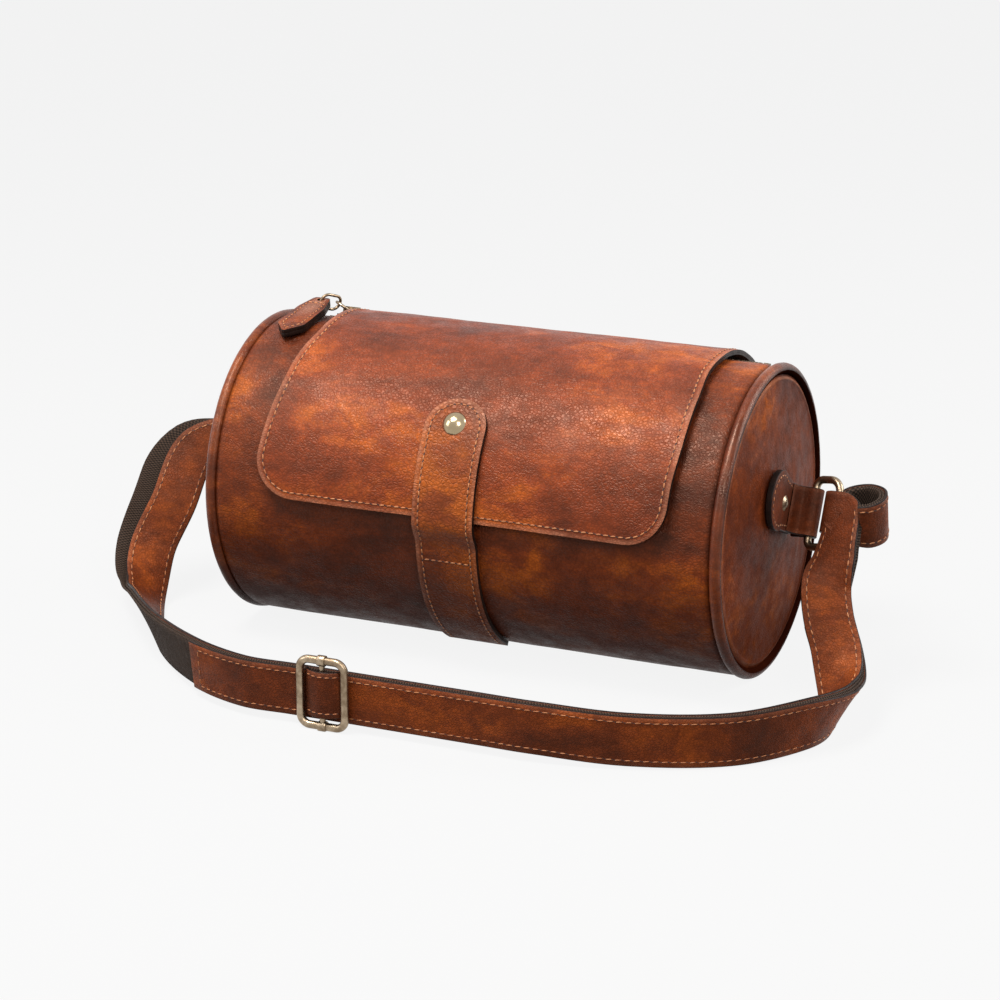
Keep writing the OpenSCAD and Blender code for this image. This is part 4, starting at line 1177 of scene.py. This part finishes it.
def strap_stations(spots, steps):
    last = len(spots) - 1
    line = []
    for i in range(last):
        (a, aw), (b, bw) = spots[max(i - 1, 0)], spots[i]
        (c, cw), (d, dw) = spots[i + 1], spots[min(i + 2, last)]
        before, here, after = (b - a).length, (c - b).length, (d - c).length
        m, k = here / (here + before), here / (here + after)
        for j in range(steps + 1 if i == last - 1 else steps):
            t = j / steps
            h = (2 * t ** 3 - 3 * t * t + 1, t ** 3 - 2 * t * t + t, 3 * t * t - 2 * t ** 3, t ** 3 - t * t)
            s = (6 * t * t - 6 * t, 3 * t * t - 4 * t + 1, 6 * t - 6 * t * t, 3 * t * t - 2 * t)
            p = h[0] * b + h[1] * m * (c - a) + h[2] * c + h[3] * k * (d - b)
            run_dir = (s[0] * b + s[1] * m * (c - a) + s[2] * c + s[3] * k * (d - b)).normalized()
            raw = h[0] * bw + h[1] * m * (cw - aw) + h[2] * cw + h[3] * k * (dw - bw)
            w = (raw - raw.dot(run_dir) * run_dir).normalized()
            near_ring = (p - Vector((BOW_X, BOW.y, BOW.z))).length
            pinch = mix(0.84, 1.0, ease((near_ring - 8 * MM) / (22 * MM)))
            line.append((p, w * pinch, w.cross(run_dir)))
    return line


strap_line = strap_stations(strap_spots, STRAP_STEPS)
face_start = (len(left_fold) + len(left_spots) - 2) * STRAP_STEPS
face_end = (len(left_fold) + len(left_spots) + len(middle_spots) + 7) * STRAP_STEPS


def slack_line(line):
    first = (len(left_fold) - 1) * STRAP_STEPS
    last = (len(left_fold) + 4) * STRAP_STEPS
    apart = []
    for i, (p, w, n) in enumerate(line):
        t = min(max((i - first) / (last - first), 0.0), 1.0)
        slack = ease(t / 0.30) * ease((1 - t) / 0.65)
        apart.append((p + (SLACK_BEHIND * n - SLACK_BESIDE * w) * MM * slack, w, n))
    return apart


outer_web_line = slack_line(strap_line)
face_line = strap_line[face_start:face_end]
strap_length = sum((b[0] - a[0]).length for a, b in zip(strap_line, strap_line[1:]))
print("strap", round(strap_length, 3), "m from end to end")

# %% [markdown]
# Each ply is a strip along that path, between its own two offsets from the middle. The leather plies have
# painted edges and a seam near each edge. The outer leather is shorter than the other plies, so that the
# webbing shows alone beyond its ends.

# %% The strap's plies
STRAP_SEAM = 9.6 * MM
strip_piece("strap_face_inner", "strap", [strap_leather, edge_paint], strap_line,
            strip_section(STRAP_W, -FACE_OUT, -FACE_IN), ["strap_inner_leather"])
strip_piece("strap_web_inner", "strap", [webbing, webbing], strap_line,
            strip_section(STRAP_W - 0.6 * MM, -WEB_OUT, -WEB_IN), ["strap_inner_webbing"])
strip_piece("strap_web_outer", "strap", [webbing, webbing], outer_web_line,
            strip_section(STRAP_W - 0.6 * MM, WEB_IN, WEB_OUT), ["strap_outer_webbing"])
strip_piece("strap_face_outer", "strap", [strap_leather, edge_paint], face_line,
            strip_section(STRAP_W, FACE_IN, FACE_OUT), ["strap_outer_leather"])


def strap_seams(line, offset, sign):
    return [[(p + w * k + n * offset, n * sign) for p, w, n in line] for k in (-STRAP_SEAM, STRAP_SEAM)]


outer_seams = strap_seams(face_line[2:-1], FACE_OUT, 1)
p, w, n = face_line[2]
outer_seams.append([(p + w * mix(-STRAP_SEAM, STRAP_SEAM, i / 8) + n * FACE_OUT, n) for i in range(9)])
seam_piece("strap_stitches_outer", "strap", outer_seams, pitch=4.4 * MM, length=3.3 * MM, thick=0.30 * MM)
ring_start = len(strap_line) - (len(ring_spots) + len(loop_spots) - 1) * STRAP_STEPS
loop_start = len(strap_line) - (len(loop_spots) - 1) * STRAP_STEPS
inner_seams = strap_seams(strap_line[1:ring_start], -FACE_OUT, -1)
inner_seams += strap_seams(strap_line[loop_start:-1], -FACE_OUT, -1)
seam_piece("strap_stitches_inner", "strap", inner_seams, pitch=4.4 * MM, length=3.3 * MM, thick=0.38 * MM)

# %% [markdown]
# The strap slider is a wire frame with a bar across its middle. A leather band arches over the bar
# inside the frame, and two small sleeves hold the bar to the frame at top and bottom.

# %% The band and sleeves of the strap slider
SLIDER_AT = Vector((-31 * MM, -165.3 * MM, 19 * MM))
BAND_HALF = 9.2 * MM
BAND_FRONT = 0.7 * MM
BAND_BACK = -0.6 * MM
SLEEVE_R = 2.75 * MM
SLEEVE_RISE = 17 * MM
band_line = []
for i in range(17):
    t = i / 16 * 2 - 1
    rise = mix(-2.15, 2.35, math.cos(t * math.pi / 2) ** 0.8) * MM
    band_line.append(SLIDER_AT + Vector((t * BAND_HALF, -rise, 0)))
band_stations = []
for i, p in enumerate(band_line):
    run_dir = (band_line[min(i + 1, 16)] - band_line[max(i - 1, 0)]).normalized()
    band_stations.append((p, Vector((0, 0, 1)), Vector((0, 0, 1)).cross(run_dir) * -1))
strip_piece("slider_band", "strap_buckle", [strap_leather, edge_paint], band_stations,
            strip_section(24 * MM, BAND_BACK, BAND_FRONT), ["strap_buckle_wrap"])
band_seams = [[(p + w * k + n * (BAND_FRONT if n.y < 0 else BAND_BACK), n if n.y < 0 else -n)
               for p, w, n in band_stations[1:-1]] for k in (-9.4 * MM, 9.4 * MM)]
seam_piece("slider_band_stitches", "strap_buckle", band_seams, pitch=3.6 * MM, length=2.7 * MM,
           thick=0.36 * MM)

bm = bmesh.new()
for up in (-1, 1):
    at = SLIDER_AT + Vector((0, 0, up * SLEEVE_RISE))
    turn = Matrix.Translation(at) @ Matrix.Rotation(math.pi / 2, 4, "Y")
    made = bmesh.ops.create_cone(bm, cap_ends=True, segments=24, radius1=SLEEVE_R, radius2=SLEEVE_R,
                                 depth=4.4 * MM, matrix=turn)
    rims = list({e for v in made["verts"] for e in v.link_edges if len(e.link_faces) == 2
                 and e.calc_face_angle(0) > 1})
    round_edges(bm, rims)
for v in bm.verts:
    v.co.z = max(v.co.z, 0.0)
new_piece(bm, "slider_sleeves", "strap_buckle", [old_brass], sharp=60)

# %% [markdown]
# The zip puller is two plies of leather, pointed at the bottom, with a hole for the link. Its outline and
# the hole are two loops with the same number of points, and bridging them gives the face of one ply.

# %% The zip puller
PULLER_ANGLE = 8.0
PULLER_X = -118.3 * MM
PULLER_BACK = 82.3 * MM
PULLER_FRONT = 84.4 * MM
PULLER_SEAM = 84.42 * MM
puller_corners = [(-4.5, 27), (4.5, 27), (7.75, 13), (7.75, -11), (0, -21), (-7.75, -11), (-7.75, 13)]
BORE_AT = Vector((0, 24.2 * MM, 0))
BORE_R = 1.9 * MM


def puller_point(u, v, z):
    turn = math.radians(PULLER_ANGLE)
    up = Vector((0, math.cos(turn), math.sin(turn)))
    out = Vector((0, -math.sin(turn), math.cos(turn)))
    return Vector((PULLER_X + u, 0, AXIS_Z)) + up * v + out * z


puller_out = puller_point(0, 0, 1) - puller_point(0, 0, 0)


def rounded_outline(corners, radius, count):
    points = [Vector((x, y, 0)) * MM for x, y in corners]
    line = []
    for i, p in enumerate(points):
        a, b = points[i - 1], points[(i + 1) % len(points)]
        start, end = p + (a - p).normalized() * radius, p + (b - p).normalized() * radius
        for t in (0, 0.25, 0.5, 0.75, 1):
            line.append(start.lerp(p, t).lerp(p.lerp(end, t), t))
    total = [(line[(i + 1) % len(line)] - line[i]).length for i in range(len(line))]
    pitch, spaced, at, left_over = sum(total) / count, [], 0, 0.0
    for i in range(len(line)):
        q = line[(i + 1) % len(line)]
        while left_over < total[i]:
            spaced.append(line[i].lerp(q, left_over / total[i]))
            left_over += pitch
        left_over -= total[i]
    return spaced[:count]


def puller_ply(name, z, materials, node):
    count = 64
    bm = bmesh.new()
    edge_in = bm.verts.layers.float.new("edge_in")
    outer = rounded_outline(puller_corners, 1.6 * MM, count)
    first = max(range(count), key=lambda i: outer[i].y - abs(outer[i].x) * 0.1)
    outer = outer[first:] + outer[:first]
    clockwise = sum(a.x * b.y - b.x * a.y for a, b in zip(outer, outer[1:] + outer[:1])) < 0
    sign = -1 if clockwise else 1
    turns = [2 * math.pi * i / count for i in range(count)]
    bore = [BORE_AT + Vector((math.sin(-sign * b), math.cos(b), 0)) * BORE_R for b in turns]
    loops = []
    for line, depth in ((outer, 0.004), (bore, 0.0)):
        verts = [bm.verts.new(puller_point(p.x, p.y, z)) for p in line]
        for v in verts:
            v[edge_in] = depth
        loops.append([bm.edges.new((verts[i], verts[(i + 1) % count])) for i in range(count)])
    bmesh.ops.bridge_loops(bm, edges=loops[0] + loops[1])
    face_out(bm, lambda p: puller_out)
    thicken(new_piece(bm, name, "zip_pull", materials, [node]), HIDE_T, 0.3 * MM)


puller_ply("puller_back", PULLER_BACK, [edge_paint, edge_paint], "zip_puller_back")
puller_ply("puller_front", PULLER_FRONT, [tan_leather, edge_paint], "zip_puller_front")
seam_corners = [(-4.9, 19.5), (4.9, 19.5), (5.2, 11.5), (5.2, -10), (0, -17.2), (-5.2, -10), (-5.2, 11.5)]
puller_seam = [(puller_point(p.x, p.y, PULLER_SEAM), puller_out)
               for p in rounded_outline(seam_corners, 1.0 * MM, 80)]
seam_piece("puller_stitches", "zip_pull", [puller_seam + puller_seam[:1]], pitch=3.3 * MM, length=2.5 * MM,
           thick=0.36 * MM)

# %% [markdown]
# The rigid metal is already exact, so it keeps its own mesh and only takes the brass. Pieces that no one
# sees, such as the lining, the boards and the cord in the piping, get their plain finishes.

# %% Finishes for the measured pieces
finish_of = dict.fromkeys((
    "zip_teeth_front", "zip_teeth_rear", "zip_stops", "zip_slider", "zip_bail", "zip_link", "flap_magnet",
    "tab_magnet", "chape_rivets", "d_ring_left", "d_ring_right", "strap_buckle_frame", "strap_buckle_bar",
), old_brass)
finish_of.update(dict.fromkeys(("end_board_left", "end_board_right", "piping_cores"), board))
finish_of.update(snap_cap=bright_brass, body_lining=cloth)
for name, material in finish_of.items():
    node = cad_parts[name]
    node.data.materials.clear()
    node.data.materials.append(material)
print("finished", len(finish_of), "measured pieces")

# %% [markdown]
# The camera stands where the photograph was taken from, a long lens a little above and to the right of
# the bag.

# %% Camera
CAMERA_AT = Vector((602.1, -1402.7, 559.3)) * MM
right = Vector((0.9168, 0.3994, 0.0)).normalized()
back = Vector((0.3806, -0.8735, 0.3034)).normalized()
up = back.cross(right).normalized()
camera_data = bpy.data.cameras.new("camera")
camera_data.lens = 110.3
camera_data.sensor_width = 36
camera = bpy.data.objects.new("camera", camera_data)
camera.matrix_world = Matrix.Translation(CAMERA_AT) @ Matrix((right, up, back)).transposed().to_4x4()
scene.collection.objects.link(camera)
scene.camera = camera
print("camera", tuple(round(c, 4) for c in CAMERA_AT))

# %% [markdown]
# The floor and the world look pale to the camera and in reflections, and give little light back to the
# bag, so that its underside stays as dark as in a studio with a lifted table.

# %% Floor and world
PALE = (0.922, 0.922, 0.922)


def shown_or_lit(tree, shown, lit):
    path = put(tree, "LightPath").outputs
    seen = sums(tree, "MAXIMUM", path["Is Camera Ray"], path["Is Glossy Ray"])
    seen = sums(tree, "MAXIMUM", seen, path["Is Transmission Ray"])
    return put(tree, "MixShader", in_0=seen, in_1=lit, in_2=shown).outputs[0]


def pale_floor():
    material = bpy.data.materials.new("pale_floor")
    material.use_nodes = True
    tree = material.node_tree
    tree.nodes.clear()
    dull = put(tree, "BsdfDiffuse", in_Color=(0.12, 0.11, 0.10)).outputs[0]
    chalk = put(tree, "BsdfDiffuse", in_Color=(0.85, 0.85, 0.85)).outputs[0]
    glow = put(tree, "Emission", in_Color=PALE, in_Strength=1.0).outputs[0]
    pale = put(tree, "MixShader", in_0=0.045, in_1=glow, in_2=chalk).outputs[0]
    put(tree, "OutputMaterial", in_0=shown_or_lit(tree, pale, dull))
    return material


bm = bmesh.new()
bmesh.ops.create_circle(bm, cap_ends=True, segments=64, radius=6.0)
mesh = mesh_of(bm, "floor")
mesh.materials.append(pale_floor())
floor = bpy.data.objects.new("floor", mesh)
scene.collection.objects.link(floor)

world = bpy.data.worlds.new("studio")
scene.world = world
world.use_nodes = True
tree = world.node_tree
tree.nodes.clear()
room = put(tree, "Background", in_Color=(0.90, 0.92, 1.0), in_Strength=0.10).outputs[0]
wall = put(tree, "Background", in_Color=PALE, in_Strength=1.0).outputs[0]
put(tree, "OutputWorld", in_0=shown_or_lit(tree, wall, room))
print("floor and world ready")

# %% [markdown]
# A broad softbox high on the left gives the long shine on the drum's shoulder. A second one in front on
# the right lights the round end, a weaker one from the left keeps the tab and the left end alive, and one
# behind draws the rim.

# %% Lamps
def softbox(name, at, target, size, watts, colour=(1, 1, 1)):
    data = bpy.data.lights.new(name, "AREA")
    data.shape = "RECTANGLE"
    data.size, data.size_y = size
    data.energy = watts
    data.color = colour
    lamp = bpy.data.objects.new(name, data)
    away = (Vector(at) - Vector(target)).normalized()
    lamp.matrix_world = Matrix.Translation(at) @ away.to_track_quat("Z", "Y").to_matrix().to_4x4()
    scene.collection.objects.link(lamp)


softbox("overhead", (-0.26, -0.42, 1.18), (0.03, -0.02, 0.10), (0.55, 0.42), 19, (1.0, 0.985, 0.96))
softbox("front_right", (0.80, -0.95, 0.95), (0.05, 0, 0.08), (0.45, 0.60), 9, (1.0, 0.985, 0.96))
softbox("left", (-1.2, -0.8, 0.70), (-0.08, 0, 0.06), (0.6, 0.8), 6, (0.97, 0.98, 1.0))
softbox("behind", (0.95, 0.55, 0.60), (0.10, 0, 0.08), (0.5, 0.7), 9)
print("lamps", len(bpy.data.lights))
